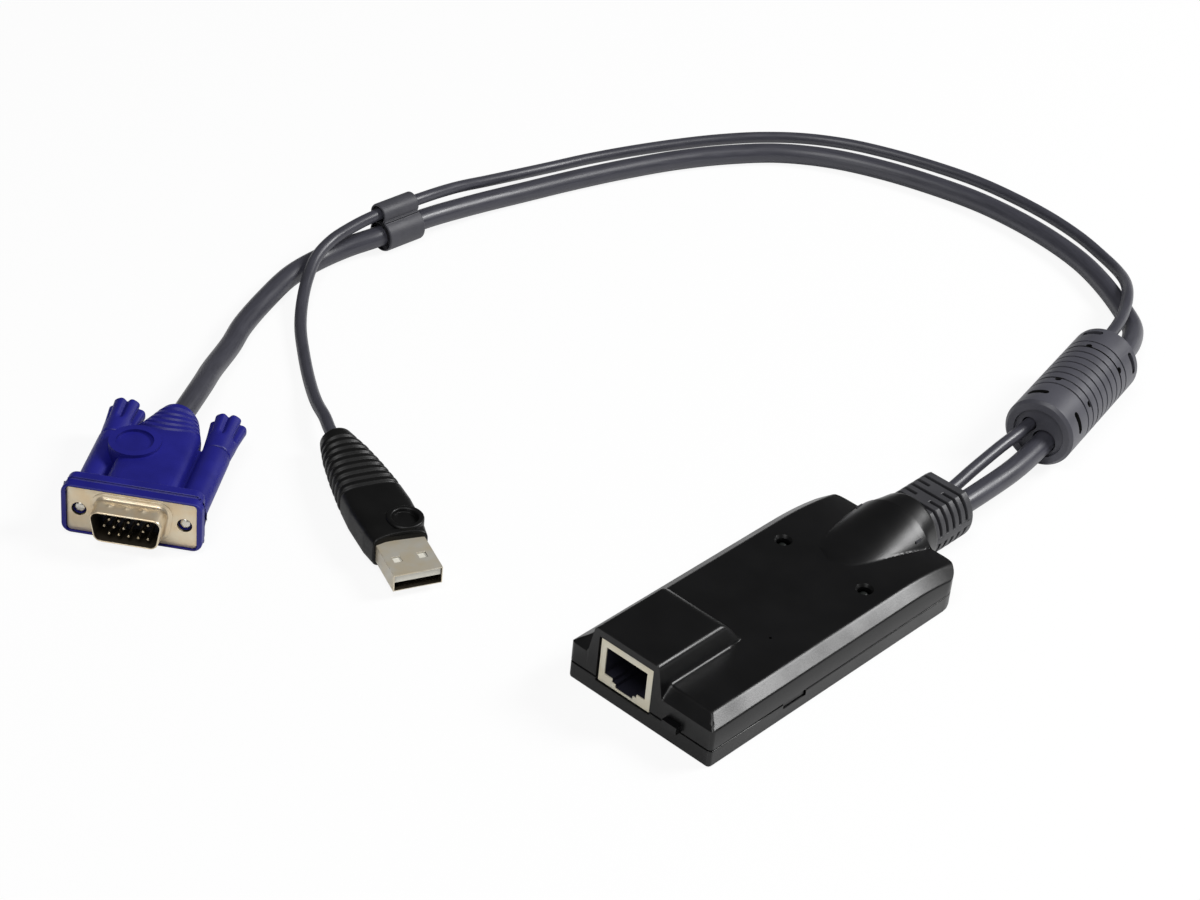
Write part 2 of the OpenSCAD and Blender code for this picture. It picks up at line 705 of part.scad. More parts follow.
module bottom_cover() color(black) {
    difference() {
        union() {
            linear_extrude(parting_z) polygon(plan(0));
            translate([0, 0, parting_z - over]) linear_extrude(lip_h + over) polygon(plan(wall / 2 + fit));
            intersection() {
                tail_block();
                slab(0, rear_y - over, -over, body_w, tail_l + 2 * over, parting_z + over);
            }
        }
        translate([0, 0, wall]) linear_extrude(top_z) polygon(plan(wall));
        gland_room(fit);
        front_openings();
        for (s = [-1, 1]) slab(s * half_w, snap_y, snap_z, 2 * wall + over, snap_l, lip_top);
    }
    for (p = posts) translate([p[0], p[1], wall - fit]) {
        cylinder(r = post_r, h = board_under - wall + fit);
        cylinder(r = pin_r, h = board_z - wall + pin_rise);
    }
}

module main_board() color(board_green) {
    difference() {
        slab(0, board_y, board_under, board_w, board_l, board_t);
        for (p = posts) translate([p[0], p[1], board_under - over])
            cylinder(r = pin_r + fit, h = board_t + 2 * over);
    }
}

// A chip on the board with its legs on two or on all four sides
module chip(size, at, sides) {
    translate([at[0], at[1], board_z]) {
        slab(0, -size[1] / 2, leg_size[2] / 2, size[0], size[1], size[2] - leg_size[2] / 2);
        for (turn = [0:180 / sides * 2:359]) rotate([0, 0, turn]) {
            run = turn % 180 == 0 ? size[0] : size[1];
            half = turn % 180 == 0 ? size[1] / 2 : size[0] / 2;
            count = floor((run - 2 * leg_margin) / leg_gap);
            for (i = [0:count]) slab((i - count / 2) * leg_gap, half - leg_size[2], 0, leg_size[0],
                leg_size[1], 2 * leg_size[2]);
        }
    }
}
module processor_chip() color(black) chip(processor_size, on_board(processor_share), 4);
module memory_chip() color(black) chip(memory_size, on_board(memory_share), 2);
module driver_chips() color(black) {
    for (share = driver_shares) chip(driver_size, on_board(share), 2);
}
module chip_capacitors() color("tan") {
    for (share = chip_cap_shares) let (at = on_board(share))
        slab(at[0], at[1], board_z, chip_cap_size[0], chip_cap_size[1], chip_cap_size[2]);
}
module electrolytic_capacitors() color("silver") {
    for (share = can_shares) let (at = on_board(share))
        translate([at[0], at[1], board_z]) cylinder(r = can_r, h = can_h);
}
module crystal() color("silver") {
    at = on_board(crystal_share);
    translate([at[0], at[1], board_z]) linear_extrude(crystal_size[2])
        polygon(round_box(crystal_size[0], crystal_size[1], crystal_size[1] / 2));
}

// The jack's mouth with the two steps of its latch notch
module jack_mouth(y, l) {
    slab(jack_x, y, mouth_z, mouth_w, l, mouth_h);
    slab(jack_x, y, mouth_z - latch_h, latch_w, l, latch_h + fit);
    slab(jack_x, y, mouth_z - 2 * latch_h, latch_low_w, l, latch_h + fit);
}
module jack_shield() color(metal) {
    difference() {
        slab(jack_x, jack_y, board_z, jack_w, jack_l, jack_h);
        slab(jack_x, jack_y + shield_t, board_z - over, jack_w - 2 * shield_t, jack_l - 2 * shield_t,
            jack_h - shield_t + over);
        jack_mouth(jack_y - over, 2 * over);
    }
}
module jack_insulator() color(black) {
    difference() {
        slab(jack_x, insulator_y, board_z, jack_w - 2 * shield_t - 2 * fit, insulator_l,
            jack_h - shield_t - fit);
        jack_mouth(insulator_y - over, mouth_l + over);
        slab(jack_x, insulator_y + mouth_l - over, mouth_top - comb_h, jack_ways * jack_pitch,
            insulator_l, comb_h);
    }
}
// One contact spring: along the mouth's top, bent back into it, and down to the board behind
module spring_profile() {
    y_back = insulator_y + insulator_l + spring_set;
    y_bend = insulator_y + mouth_l - spring_l;
    z = mouth_top - comb_h / 2 - spring_t / 2;
    polygon([[y_bend, z + spring_t], [y_back, z + spring_t], [y_back, board_z], [y_back - spring_t, board_z],
        [y_back - spring_t, z], [y_bend + spring_t, z], [y_bend + spring_l - spring_drop, z - spring_drop],
        [y_bend + spring_l - spring_drop - spring_t, z - spring_drop - spring_t / 2], [y_bend, z]]);
}
module jack_contacts() color(gold) {
    for (i = [0:jack_ways - 1])
        along_x(jack_x + (i - (jack_ways - 1) / 2) * jack_pitch - spring_w / 2, spring_w) spring_profile();
}

// A light on the board: flange, round body, domed tip and two legs
module status_light(x) {
    translate([x, light_y, 0]) {
        translate([0, 0, light_body_z]) cylinder(r = light_flange_r, h = light_flange_h);
        translate([0, 0, light_body_z]) cylinder(r = light_r, h = light_top - light_r - light_body_z);
        translate([0, 0, light_top - light_r]) sphere(light_r);
        for (s = [-1, 1])
            slab(s * leg_pitch / 2, -leg_w / 2, board_z, leg_w, leg_w, light_body_z - board_z + fit);
    }
}
module online_light() color("lightgreen") status_light(-light_x);
module power_light() color("lightgreen") status_light(light_x);
module light_spacers() color("white") {
    for (s = [-1, 1]) translate([s * light_x, light_y, board_z]) difference() {
        cylinder(r = light_flange_r, h = light_body_z - board_z);
        translate([0, 0, -over]) cylinder(r = spacer_bore_r, h = light_body_z);
    }
}

module switch_body() color(black) {
    difference() {
        slab(switch_x, switch_y, board_z, switch_w, switch_l, switch_h);
        slab(switch_x, switch_y + slider_face, slider_z - slider_plate_h / 2 - play,
            slider_plate_w + slider_travel + 2 * play, slider_plate_l + 2 * play, slider_plate_h + 2 * play);
        slab(switch_x, switch_y - over, slider_z - slider_h / 2 - play, slider_w + slider_travel + 2 * play,
            slider_face + 2 * over, slider_h + 2 * play);
    }
}
module switch_slider() color("white") {
    x = switch_x - slider_travel / 2;
    plate_y = switch_y + slider_face + play;
    slab(x, plate_y, slider_z - slider_plate_h / 2, slider_plate_w, slider_plate_l, slider_plate_h);
    slab(x, front_y + slider_set, slider_z - slider_h / 2, slider_w, plate_y - front_y, slider_h);
}

// A header on the board, closed behind, with a row of contacts inside
module header(x, w) {
    difference() {
        slab(x, header_y, board_z, w, header_l, header_h);
        slab(x, header_y - over, board_z + header_wall, w - 2 * header_wall, header_l + over - header_wall,
            header_h - 2 * header_wall);
    }
}
module video_header() color("ivory") header(video_header_x, video_header_w);
module data_header() color("ivory") header(data_header_x, data_header_w);
module video_wires() color("dimgray") cord(video_wire_route, video_wire_d, 8);
module data_wires() color("dimgray") cord(data_wire_route, data_wire_d, 8);

// One flex slot of the gland, above the axis; bridged slots leave a rib in the middle
module flex_slot(i) {
    y = tail_y + slot_first + i * slot_pitch;
    difference() {
        slab(0, y, slot_low, 2 * gland_r + over, slot_w, gland_r);
        along_y(y - over, slot_w + 2 * over) gland_section(gland_r - slot_d, gland_flat - slot_d);
        if (i % 2 == 1) slab(0, y - over, 0, bridge_w, slot_w + 2 * over, gland_r);
    }
}
module cable_gland() color(rubber) {
    translate([0, 0, gland_z]) difference() {
        along_y(tail_y, gland_l) gland_section(gland_r, gland_flat);
        for (i = [0:slot_n - 1], turn = [0, 180]) rotate([0, turn, 0]) flex_slot(i);
    }
    difference() {
        gland_room(0);
        slab(0, tail_y, 0, body_w, 2 * over, 2 * top_z);
    }
}

module video_lead() color(lead_grey) cord(video_route, video_d, 12);
module data_lead() color(lead_grey) cord(data_route, data_d, 8);

module ferrite_cover() color(rubber) at_ferrite() {
    r = ferrite_r;
    half = ferrite_l / 2;
    room_h = core_l + 2 * fit;
    difference() {
        translate([0, half, 0]) rotate([90, 0, 0]) rotate_extrude() difference() {
            polygon([[end_r, 0], [r - edge_cut, 0], [r, edge_cut], [r, ferrite_l - edge_cut],
                [r - edge_cut, ferrite_l], [end_r, ferrite_l], [end_r, ferrite_l - end_set],
                [core_bore_r, ferrite_l - end_set], [core_bore_r, end_set], [end_r, end_set]]);
            translate([core_bore_r - over, (ferrite_l - room_h) / 2])
                square([core_r + fit - core_bore_r + over, room_h]);
            for (i = [0:ring_n - 1]) translate([r - ring_depth, ring_first - mark_off + i * ring_pitch])
                square([over, ring_w]);
        }
        for (end = [-1, 1], side = [0:3]) rotate([0, grip_slot_turn + 90 * side, 0])
            translate([0, mark_off + end * grip_slot_at, 0]) {
                slab(0, -grip_slot_r, 0, grip_slot_l, 2 * grip_slot_r, r + over);
                for (s = [-1, 1]) translate([s * grip_slot_l / 2, 0, 0]) cylinder(r = grip_slot_r, h = r + over);
            }
        for (end = [-1, 1], turn = peg_hole_turns) rotate([0, turn, 0])
            translate([0, mark_off + end * peg_hole_at, 0]) cylinder(r = peg_hole_r, h = r + over);
    }
    for (end = [-1, 1]) difference() {
        bar_y(0, end * (half - end_set - end_t / 2) - end_t / 2, 0, core_bore_r + fit, end_t);
        bar_y(video_in_ferrite[0], -half, video_in_ferrite[1], video_d / 2 + lead_gap, ferrite_l);
        bar_y(data_in_ferrite[0], -half, data_in_ferrite[1], data_d / 2 + lead_gap, ferrite_l);
    }
}
module ferrite_core() color("dimgray") at_ferrite() difference() {
    bar_y(0, -core_l / 2, 0, core_r, core_l);
    bar_y(0, -core_l / 2 - over, 0, core_bore_r, core_l + 2 * over);
}

module lead_clip() color(rubber) at_clip() {
    dx = clip_data_off[0];
    dz = clip_data_off[1];
    y = -clip_l / 2;
    difference() {
        union() {
            bar_y(0, y, 0, clip_video_r, clip_l);
            bar_y(dx, y, dz, clip_data_r, clip_l);
        }
        bar_y(0, y - over, 0, clip_video_r - clip_wall, clip_l + 2 * over);
        bar_y(dx, y - over, dz, clip_data_r - clip_wall, clip_l + 2 * over);
        bar_y(0, y - over, 0, clip_video_r - clip_wall + clip_mouth_r, clip_mouth_l + over);
        bar_y(dx, y - over, dz, clip_data_r - clip_wall + clip_mouth_r, clip_mouth_l + over);
    }
}

module video_plug_hood() color(blue) at_video_plug() {
    difference() {
        union() {
            along_y(-lip_out, flange_t) polygon(round_box(flange_w, flange_h - 2 * lip_out, flange_r));
            along_y(flange_t - lip_out, flange_t)
                polygon(round_box(flange_w - flange_back_in, flange_h, flange_r));
            skin(concat(hood_rings(video_shares, 0, [video_hood_w, video_hood_l, video_hood_h],
                video_groove_first, video_groove_n, video_groove_pitch),
                [section(video_hood_l, video_tail_r, video_tail_r, 1)]));
            for (s = [-1, 1]) {
                bar_y(s * screw_pitch / 2, flange_t, 0, sleeve_r, sleeve_l - flange_t);
                slab(s * (screw_pitch + video_hood_w) / 4, flange_t, -video_web_h / 2,
                    (screw_pitch - video_hood_w) / 2 + 2 * video_web_in, sleeve_l - flange_t, video_web_h);
            }
            translate([video_boss[0], video_boss[1], 0])
                cylinder(r = video_boss_r, h = video_hood_h / 2 + boss_rise);
        }
        along_y(-lip_out - over, lip_out + plate_t + over)
            polygon(round_box(plate_w + 2 * fit, plate_h + 2 * fit, plate_r));
        along_y(0, block_in + fit) polygon(d_outline(plate_t));
        for (s = [-1, 1]) bar_y(s * screw_pitch / 2, -over, 0, rod_r + fit, sleeve_l + 2 * over);
        translate([video_boss[0], video_boss[1], video_hood_h / 2 + boss_rise - boss_sink])
            cylinder(r = video_boss_r - video_boss_rim, h = over);
    }
}
module video_plug_shell() color(metal) at_video_plug() difference() {
    union() {
        along_y(0, plate_t) polygon(round_box(plate_w, plate_h, plate_r));
        along_y(-shell_l, shell_l + plate_t) polygon(d_outline(0));
    }
    along_y(-shell_l - over, shell_l + plate_t + 2 * over) polygon(d_outline(plate_t));
    for (s = [-1, 1]) bar_y(s * screw_pitch / 2, -over, 0, screw_hole_r, 2 * over);
}

// Places of the contact pins: three rows of five, the middle row moved by half a step, one left out
pin_places = [for (row = [-1, 0, 1], i = [-2:2]) if (!(row == 0 && i == key_pin[1]))
    [i * contact_pitch + (row == 0 ? -1 : 1) * contact_pitch / 4, row * row_pitch]];
module video_plug_insulator() color(black) at_video_plug() difference() {
    along_y(block_clear, block_in - block_clear) polygon(d_outline(plate_t + fit));
    for (p = pin_places) bar_y(p[0], -over, p[1], contact_r + fit / 4, block_in + 2 * over);
}
module video_plug_pins() color(gold) at_video_plug() {
    for (p = pin_places) {
        bar_y(p[0], -pin_out + contact_r, p[1], contact_r, pin_out + pin_in - contact_r);
        translate([p[0], -pin_out + contact_r, p[1]]) sphere(contact_r);
    }
}

// A thumbscrew: a flared knob with flutes, whose rod runs through the sleeve to the plate
knob_y = sleeve_l + knob_gap;
module knob(side) at_video_plug() translate([side * screw_pitch / 2, 0, 0]) difference() {
    translate([0, knob_y + knob_l, 0]) rotate([90, 0, 0]) cylinder(r1 = knob_r, r2 = knob_front_r, h = knob_l);
    bar_y(0, knob_y - over, 0, rod_r, rod_l - knob_y + over);
    for (i = [0:lobe_n - 1]) rotate([0, (i + 1 / 2) * 360 / lobe_n, 0])
        bar_y(knob_r + lobe_out, knob_y + lobe_first, 0, lobe_r, knob_l);
}
module rod(side) at_video_plug() bar_y(side * screw_pitch / 2, rod_set, 0, rod_r, rod_l - rod_set);
module left_knob() color(blue) knob(-1);
module left_rod() color(metal) rod(-1);
module right_knob() color(blue) knob(1);
module right_rod() color(metal) rod(1);

module data_plug_hood() color(black) at_data_plug() {
    difference() {
        union() {
            skin(concat([section(data_shell_l, data_front_w / 2, data_front_share * data_hood_h / 2,
                data_front_round_share)],
                hood_rings(data_shares, data_shell_l, [data_hood_w, data_plug_l - data_shell_l, data_hood_h],
                data_shell_l + groove_first, groove_n, groove_pitch),
                [section(data_plug_l, data_tail_r, data_tail_r, 1)]));
            translate([data_boss[0], data_boss[1], 0])
                cylinder(r = data_boss_r, h = data_hood_h / 2 + boss_rise / 2);
        }
        along_y(data_shell_l - over, shell_in + over + fit)
            square([data_shell_w + 2 * fit, data_shell_h + 2 * fit], center = true);
        translate([data_boss[0], data_boss[1], data_hood_h / 2 + boss_rise / 2 - boss_sink])
            cylinder(r = data_boss_r - data_boss_rim, h = over);
    }
}
module data_plug_shell() color(metal) at_data_plug() difference() {
    along_y(0, data_shell_l + shell_in) square([data_shell_w, data_shell_h], center = true);
    along_y(-over, data_shell_l + shell_in + 2 * over)
        square([data_shell_w - 2 * data_shell_t, data_shell_h - 2 * data_shell_t], center = true);
    for (s = [-1, 1]) slab(s * square_hole_at[0], square_hole_at[1] - square_hole / 2, -data_shell_h,
        square_hole, square_hole, 2 * data_shell_h);
}
tongue_z = data_shell_h / 2 - data_shell_t - tongue_h;
module data_plug_tongue() color("white") at_data_plug() {
    slab(0, tongue_set, tongue_z, data_shell_w - 2 * data_shell_t - 2 * fit, data_shell_l + tongue_in,
        tongue_h - fit / 2);
}
module data_plug_contacts() color(gold) at_data_plug() {
    for (i = [-3, -1, 1, 3]) slab(i * strip_pitch / 2, strip_set + (abs(i) == 1 ? over : 0),
        tongue_z - strip_t, strip_w, data_shell_l + tongue_in - strip_set, strip_t);
}

top_cover();
bottom_cover();
main_board();
processor_chip();
memory_chip();
driver_chips();
chip_capacitors();
electrolytic_capacitors();
crystal();
jack_shield();
jack_insulator();
jack_contacts();
online_light();
power_light();
light_spacers();
switch_body();
switch_slider();
video_header();
data_header();
video_wires();
data_wires();
cable_gland();
video_lead();
data_lead();
ferrite_cover();
ferrite_core();
lead_clip();
video_plug_hood();
video_plug_shell();
video_plug_insulator();
video_plug_pins();
left_knob();
left_rod();
right_knob();
right_rod();
data_plug_hood();
data_plug_shell();
data_plug_tongue();
data_plug_contacts();
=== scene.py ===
import math
import bmesh
import bpy
import numpy as np
from mathutils import Matrix, Vector


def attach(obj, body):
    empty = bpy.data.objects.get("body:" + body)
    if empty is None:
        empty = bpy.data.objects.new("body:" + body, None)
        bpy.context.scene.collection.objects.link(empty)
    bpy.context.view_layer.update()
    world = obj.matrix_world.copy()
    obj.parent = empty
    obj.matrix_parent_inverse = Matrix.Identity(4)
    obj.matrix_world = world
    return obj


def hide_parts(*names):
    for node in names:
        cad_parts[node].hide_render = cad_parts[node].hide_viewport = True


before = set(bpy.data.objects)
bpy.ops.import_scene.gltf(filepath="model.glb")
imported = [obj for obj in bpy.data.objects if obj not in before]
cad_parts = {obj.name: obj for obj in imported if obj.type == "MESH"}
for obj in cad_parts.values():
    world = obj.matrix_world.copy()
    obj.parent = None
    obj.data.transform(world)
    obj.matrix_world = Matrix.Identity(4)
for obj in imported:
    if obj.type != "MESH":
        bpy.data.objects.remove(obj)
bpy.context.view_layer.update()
mm = 0.001
print("frame loaded:", len(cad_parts), "nodes")

# camera at the photograph's viewing angle; the lens is for a 36 mm sensor across 1200 px
cameraSetup = {"place": (0.31788, -0.45907, 0.43094), "azimuth": 39.73, "elevation": 34.96,
               "roll": -5.85, "lens": 91.37, "sensor": 36, "clip": (0.02, 20)}


def makeCamera(setup):
    # back points from the object to the camera, and roll turns the frame about it
    azimuth, elevation, roll = (math.radians(setup[key]) for key in ("azimuth", "elevation", "roll"))
    back = Vector((math.sin(azimuth) * math.cos(elevation), -math.cos(azimuth) * math.cos(elevation),
                   math.sin(elevation)))
    right = Vector((0, 0, 1)).cross(back).normalized()
    up = back.cross(right)
    rolledRight = math.cos(roll) * right - math.sin(roll) * up
    rolledUp = math.sin(roll) * right + math.cos(roll) * up
    turned = Matrix((rolledRight, rolledUp, back)).transposed().to_4x4()
    data = bpy.data.cameras.new("photoCamera")
    data.lens, data.sensor_width, data.sensor_fit = setup["lens"], setup["sensor"], "HORIZONTAL"
    data.clip_start, data.clip_end = setup["clip"]
    camera = bpy.data.objects.new("photoCamera", data)
    camera.matrix_world = Matrix.Translation(setup["place"]) @ turned
    bpy.context.scene.collection.objects.link(camera)
    bpy.context.scene.camera = camera


makeCamera(cameraSetup)


# materials, all from nodes on Object coordinates unless a pattern follows the surface

def newMaterial(name, baseColor, roughness, metallic=0.0, specular=0.5):
    # the same values also stand on the shader's own sockets, where a pattern later links to some of them
    material = bpy.data.materials.new(name)
    material.use_nodes = True
    shader = material.node_tree.nodes["Principled BSDF"]
    shader.inputs["Base Color"].default_value = (*baseColor, 1)
    shader.inputs["Roughness"].default_value = roughness
    shader.inputs["Metallic"].default_value = metallic
    shader.inputs["Specular IOR Level"].default_value = specular
    return material, material.node_tree, shader


def addNode(tree, kind, **settings):
    # a setting is a property of the node, or else the value of one of its inputs
    node = tree.nodes.new(kind)
    for key, value in settings.items():
        if hasattr(node, key):
            setattr(node, key, value)
        else:
            node.inputs[key].default_value = value
    return node


def objectNoise(tree, size, detail=3.0, stretch=(1, 1, 1)):
    # noise whose blotches are about size metres wide
    coordinates = addNode(tree, "ShaderNodeTexCoord")
    mapping = addNode(tree, "ShaderNodeMapping")
    mapping.inputs["Scale"].default_value = stretch
    noise = addNode(tree, "ShaderNodeTexNoise", Scale=1 / size, Detail=detail)
    tree.links.new(coordinates.outputs["Object"], mapping.inputs["Vector"])
    tree.links.new(mapping.outputs["Vector"], noise.inputs["Vector"])
    return noise


def ramp(tree, source, low, high, start=0.35, end=0.65):
    # low + (high - low) (source - start) / (end - start), kept between low and high
    node = addNode(tree, "ShaderNodeMapRange")
    for key, value in (("From Min", start), ("From Max", end), ("To Min", low), ("To Max", high)):
        node.inputs[key].default_value = value
    tree.links.new(source, node.inputs["Value"])
    return node.outputs["Result"]


def colourBetween(tree, factor, first, second):
    # first + factor (second - first), for each channel
    mix = addNode(tree, "ShaderNodeMix", data_type="RGBA")
    mix.inputs["A"].default_value = (*first, 1)
    mix.inputs["B"].default_value = (*second, 1)
    tree.links.new(factor, mix.inputs["Factor"])
    return mix.outputs["Result"]


def addBump(tree, shader, height, distance, strength=1.0):
    # distance is the height in metres between black and white
    bump = addNode(tree, "ShaderNodeBump", Strength=strength, Distance=distance)
    tree.links.new(height, bump.inputs["Height"])
    tree.links.new(bump.outputs["Normal"], shader.inputs["Normal"])


def mouldedPlastic(name, look):
    # fine spark-eroded grain, with slow changes of colour and gloss
    material, tree, shader = newMaterial(name, look["color"], look["roughness"], specular=look["specular"])
    grain = objectNoise(tree, look["grain"], 2.0)
    cloud = objectNoise(tree, look["cloud"], 3.0)
    darker = tuple(c * look["shade"] for c in look["color"])
    color = colourBetween(tree, ramp(tree, cloud.outputs["Fac"], 0, 1), darker, look["color"])
    tree.links.new(color, shader.inputs["Base Color"])
    gloss = ramp(tree, cloud.outputs["Fac"], look["roughness"] - 0.03, look["roughness"] + 0.04)
    tree.links.new(gloss, shader.inputs["Roughness"])
    addBump(tree, shader, grain.outputs["Fac"], look["relief"], 0.6)
    return material


def platedMetal(name, look):
    # rolled sheet: faint stretched lines, cloudy gloss
    material, tree, shader = newMaterial(name, look["color"], look["roughness"], metallic=look["metallic"])
    lines = objectNoise(tree, look["grain"], 3.0, look["stretch"])
    cloud = objectNoise(tree, look["cloud"], 4.0)
    warm = tuple(min(1.0, c * f) for c, f in zip(look["color"], look["tint"]))
    color = colourBetween(tree, ramp(tree, cloud.outputs["Fac"], 0, 1), look["color"], warm)
    tree.links.new(color, shader.inputs["Base Color"])
    gloss = ramp(tree, lines.outputs["Fac"], look["roughness"] - 0.02, look["roughness"] + 0.03)
    tree.links.new(gloss, shader.inputs["Roughness"])
    addBump(tree, shader, lines.outputs["Fac"], look["relief"], 0.12)
    return material


plasticLooks = {
    "housingBlack": {"color": (0.003, 0.003, 0.0033), "roughness": 0.33, "specular": 0.35, "grain": 0.0002,
                     "cloud": 0.012, "shade": 0.85, "relief": 0.00001},
    "blockBlack": {"color": (0.012, 0.012, 0.02), "roughness": 0.4, "specular": 0.4, "grain": 0.0004,
                   "cloud": 0.006, "shade": 0.8, "relief": 0.00002},
    "plugBlack": {"color": (0.003, 0.003, 0.003), "roughness": 0.4, "specular": 0.28, "grain": 0.0004,
                  "cloud": 0.008, "shade": 0.8, "relief": 0.00004},
    "plugBlue": {"color": (0.011, 0.011, 0.2), "roughness": 0.44, "specular": 0.35, "grain": 0.0005,
                 "cloud": 0.008, "shade": 0.82, "relief": 0.00005},
    "glandGrey": {"color": (0.045, 0.045, 0.05), "roughness": 0.45, "specular": 0.4, "grain": 0.0005,
                  "cloud": 0.007, "shade": 0.85, "relief": 0.00005},
    "ferriteGrey": {"color": (0.07, 0.07, 0.085), "roughness": 0.42, "specular": 0.45, "grain": 0.0005,
                    "cloud": 0.009, "shade": 0.85, "relief": 0.00004},
    "clipGrey": {"color": (0.055, 0.055, 0.065), "roughness": 0.5, "specular": 0.4, "grain": 0.0005,
                 "cloud": 0.006, "shade": 0.85, "relief": 0.00005},
    "chipResin": {"color": (0.02, 0.02, 0.02), "roughness": 0.5, "specular": 0.4, "grain": 0.0002,
                  "cloud": 0.004, "shade": 0.8, "relief": 0.00003},
    "tanCeramic": {"color": (0.4, 0.27, 0.15), "roughness": 0.4, "specular": 0.5, "grain": 0.0002,
                   "cloud": 0.001, "shade": 0.8, "relief": 0.00002},
    "ivoryPlastic": {"color": (0.7, 0.68, 0.6), "roughness": 0.4, "specular": 0.5, "grain": 0.0004,
                     "cloud": 0.004, "shade": 0.92, "relief": 0.00002},
    "boardGreen": {"color": (0.02, 0.13, 0.05), "roughness": 0.3, "specular": 0.5, "grain": 0.0006,
                   "cloud": 0.003, "shade": 0.7, "relief": 0.00003},
    # black of the sintered core, also used as painted shade in the ferrite cover's sunk marks and on the video
    # hood's floor behind its plate
    "ferriteBlackAndShade": {"color": (0.004, 0.004, 0.004), "roughness": 0.7, "specular": 0.3, "grain": 0.0004,
                        "cloud": 0.003, "shade": 0.7, "relief": 0.00006},
    "milkyLens": {"color": (0.012, 0.014, 0.013), "roughness": 0.3, "specular": 0.5, "grain": 0.0006,
                  "cloud": 0.002, "shade": 0.8, "relief": 0.00001},
}
metalLooks = {
    # innerShade is nickel darkened as painted shade, for the inner walls of the plug shells
    "innerShade": {"metallic": 0.5, "color": (0.03, 0.024, 0.016), "roughness": 0.5, "grain": 0.0005,
                   "cloud": 0.004, "stretch": (1, 1, 4), "tint": (1.0, 0.95, 0.9), "relief": 0.00001},
    "drawnNickel": {"metallic": 0.65, "color": (0.7, 0.62, 0.47), "roughness": 0.32, "grain": 0.0005,
                    "cloud": 0.004, "stretch": (1, 1, 4), "tint": (1.0, 0.9, 0.78), "relief": 0.00001},
    "nickelSheet": {"metallic": 0.55, "color": (0.66, 0.63, 0.55), "roughness": 0.3, "grain": 0.0005,
                    "cloud": 0.004, "stretch": (1, 1, 4), "tint": (1.0, 0.92, 0.78), "relief": 0.00001},
    "creamNickel": {"metallic": 0.5, "color": (0.74, 0.71, 0.6), "roughness": 0.42, "grain": 0.0004,
                    "cloud": 0.005, "stretch": (1, 1, 3), "tint": (1.0, 0.96, 0.88), "relief": 0.00001},
    "contactGold": {"metallic": 1.0, "color": (0.42, 0.36, 0.27), "roughness": 0.3, "grain": 0.0003,
                    "cloud": 0.002, "stretch": (1, 1, 3), "tint": (1.0, 0.95, 0.8), "relief": 0.00001},
    "turnedSteel": {"metallic": 1.0, "color": (0.6, 0.59, 0.56), "roughness": 0.26, "grain": 0.0003,
                    "cloud": 0.002, "stretch": (1, 1, 1), "tint": (1.0, 0.95, 0.85), "relief": 0.00004},
    "drawnCan": {"metallic": 0.9, "color": (0.7, 0.7, 0.71), "roughness": 0.3, "grain": 0.0004,
                 "cloud": 0.003, "stretch": (1, 1, 5), "tint": (0.97, 0.97, 0.97), "relief": 0.00001},
}
finish = {name: mouldedPlastic(name, look) for name, look in plasticLooks.items()}
finish.update({name: platedMetal(name, look) for name, look in metalLooks.items()})


def leadJacket(name, look):
    # extruded jacket: satin, with faint lines along it; UV runs across in x and along in y, in metres
    material, tree, shader = newMaterial(name, look["color"], look["roughness"], specular=look["specular"])
    uv = addNode(tree, "ShaderNodeUVMap", uv_map="along")
    mapping = addNode(tree, "ShaderNodeMapping")
    mapping.inputs["Scale"].default_value = (look["acrossScale"], look["alongScale"], 1)
    noise = addNode(tree, "ShaderNodeTexNoise", Scale=1.0, Detail=3.0)
    tree.links.new(uv.outputs["UV"], mapping.inputs["Vector"])
    tree.links.new(mapping.outputs["Vector"], noise.inputs["Vector"])
    darker = tuple(c * look["shade"] for c in look["color"])
    color = colourBetween(tree, ramp(tree, noise.outputs["Fac"], 0, 1), darker, look["color"])
    tree.links.new(color, shader.inputs["Base Color"])
    gloss = ramp(tree, noise.outputs["Fac"], look["roughness"] - 0.04, look["roughness"] + 0.05)
    tree.links.new(gloss, shader.inputs["Roughness"])
    addBump(tree, shader, noise.outputs["Fac"], look["relief"], 0.5)
    return material


jacketLook = {"color": (0.047, 0.047, 0.06), "roughness": 0.37, "specular": 0.5, "shade": 0.82,
              "acrossScale": 1500, "alongScale": 120, "relief": 0.00004}
finish["leadGrey"] = leadJacket("leadGrey", jacketLook)
print("materials ready:", len(finish))


# meshes and pieces

def newMesh(name, points, faces):
    mesh = bpy.data.meshes.new(name)
    mesh.from_pydata(np.asarray(points).tolist(), [], faces)
    return mesh


def newObject(name, data):
    made = bpy.data.objects.new(name, data)
    bpy.context.scene.collection.objects.link(made)
    return made


def settle(piece, body, node):
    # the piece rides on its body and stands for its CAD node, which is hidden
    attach(piece, body)
    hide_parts(node)
    return piece


def readRows(items, key):
    # one row of three numbers for each vertex or face
    values = np.empty(len(items) * 3)
    items.foreach_get(key, values)
    return values.reshape(-1, 3)


def finishedMesh(item):
    # the object's mesh with its modifiers applied
    bpy.context.view_layer.update()
    return bpy.data.meshes.new_from_object(item.evaluated_get(bpy.context.evaluated_depsgraph_get()))


def placed(points, place, turn):
    # millimetres in a piece's own frame: turned about the vertical, moved to its place, and given in metres
    a = math.radians(turn)
    x, y, z = np.moveaxis(points, -1, 0)
    turned = np.stack([x * math.cos(a) - y * math.sin(a), x * math.sin(a) + y * math.cos(a), z], -1)
    return (turned + np.array(place)) * mm


def inOwnFrame(points, place=(0, 0, 0), turn=0):
    # the way back from placed
    a = math.radians(turn)
    x, y, z = np.moveaxis(points / mm - np.array(place), -1, 0)
    return np.stack([x * math.cos(a) + y * math.sin(a), y * math.cos(a) - x * math.sin(a), z], -1)


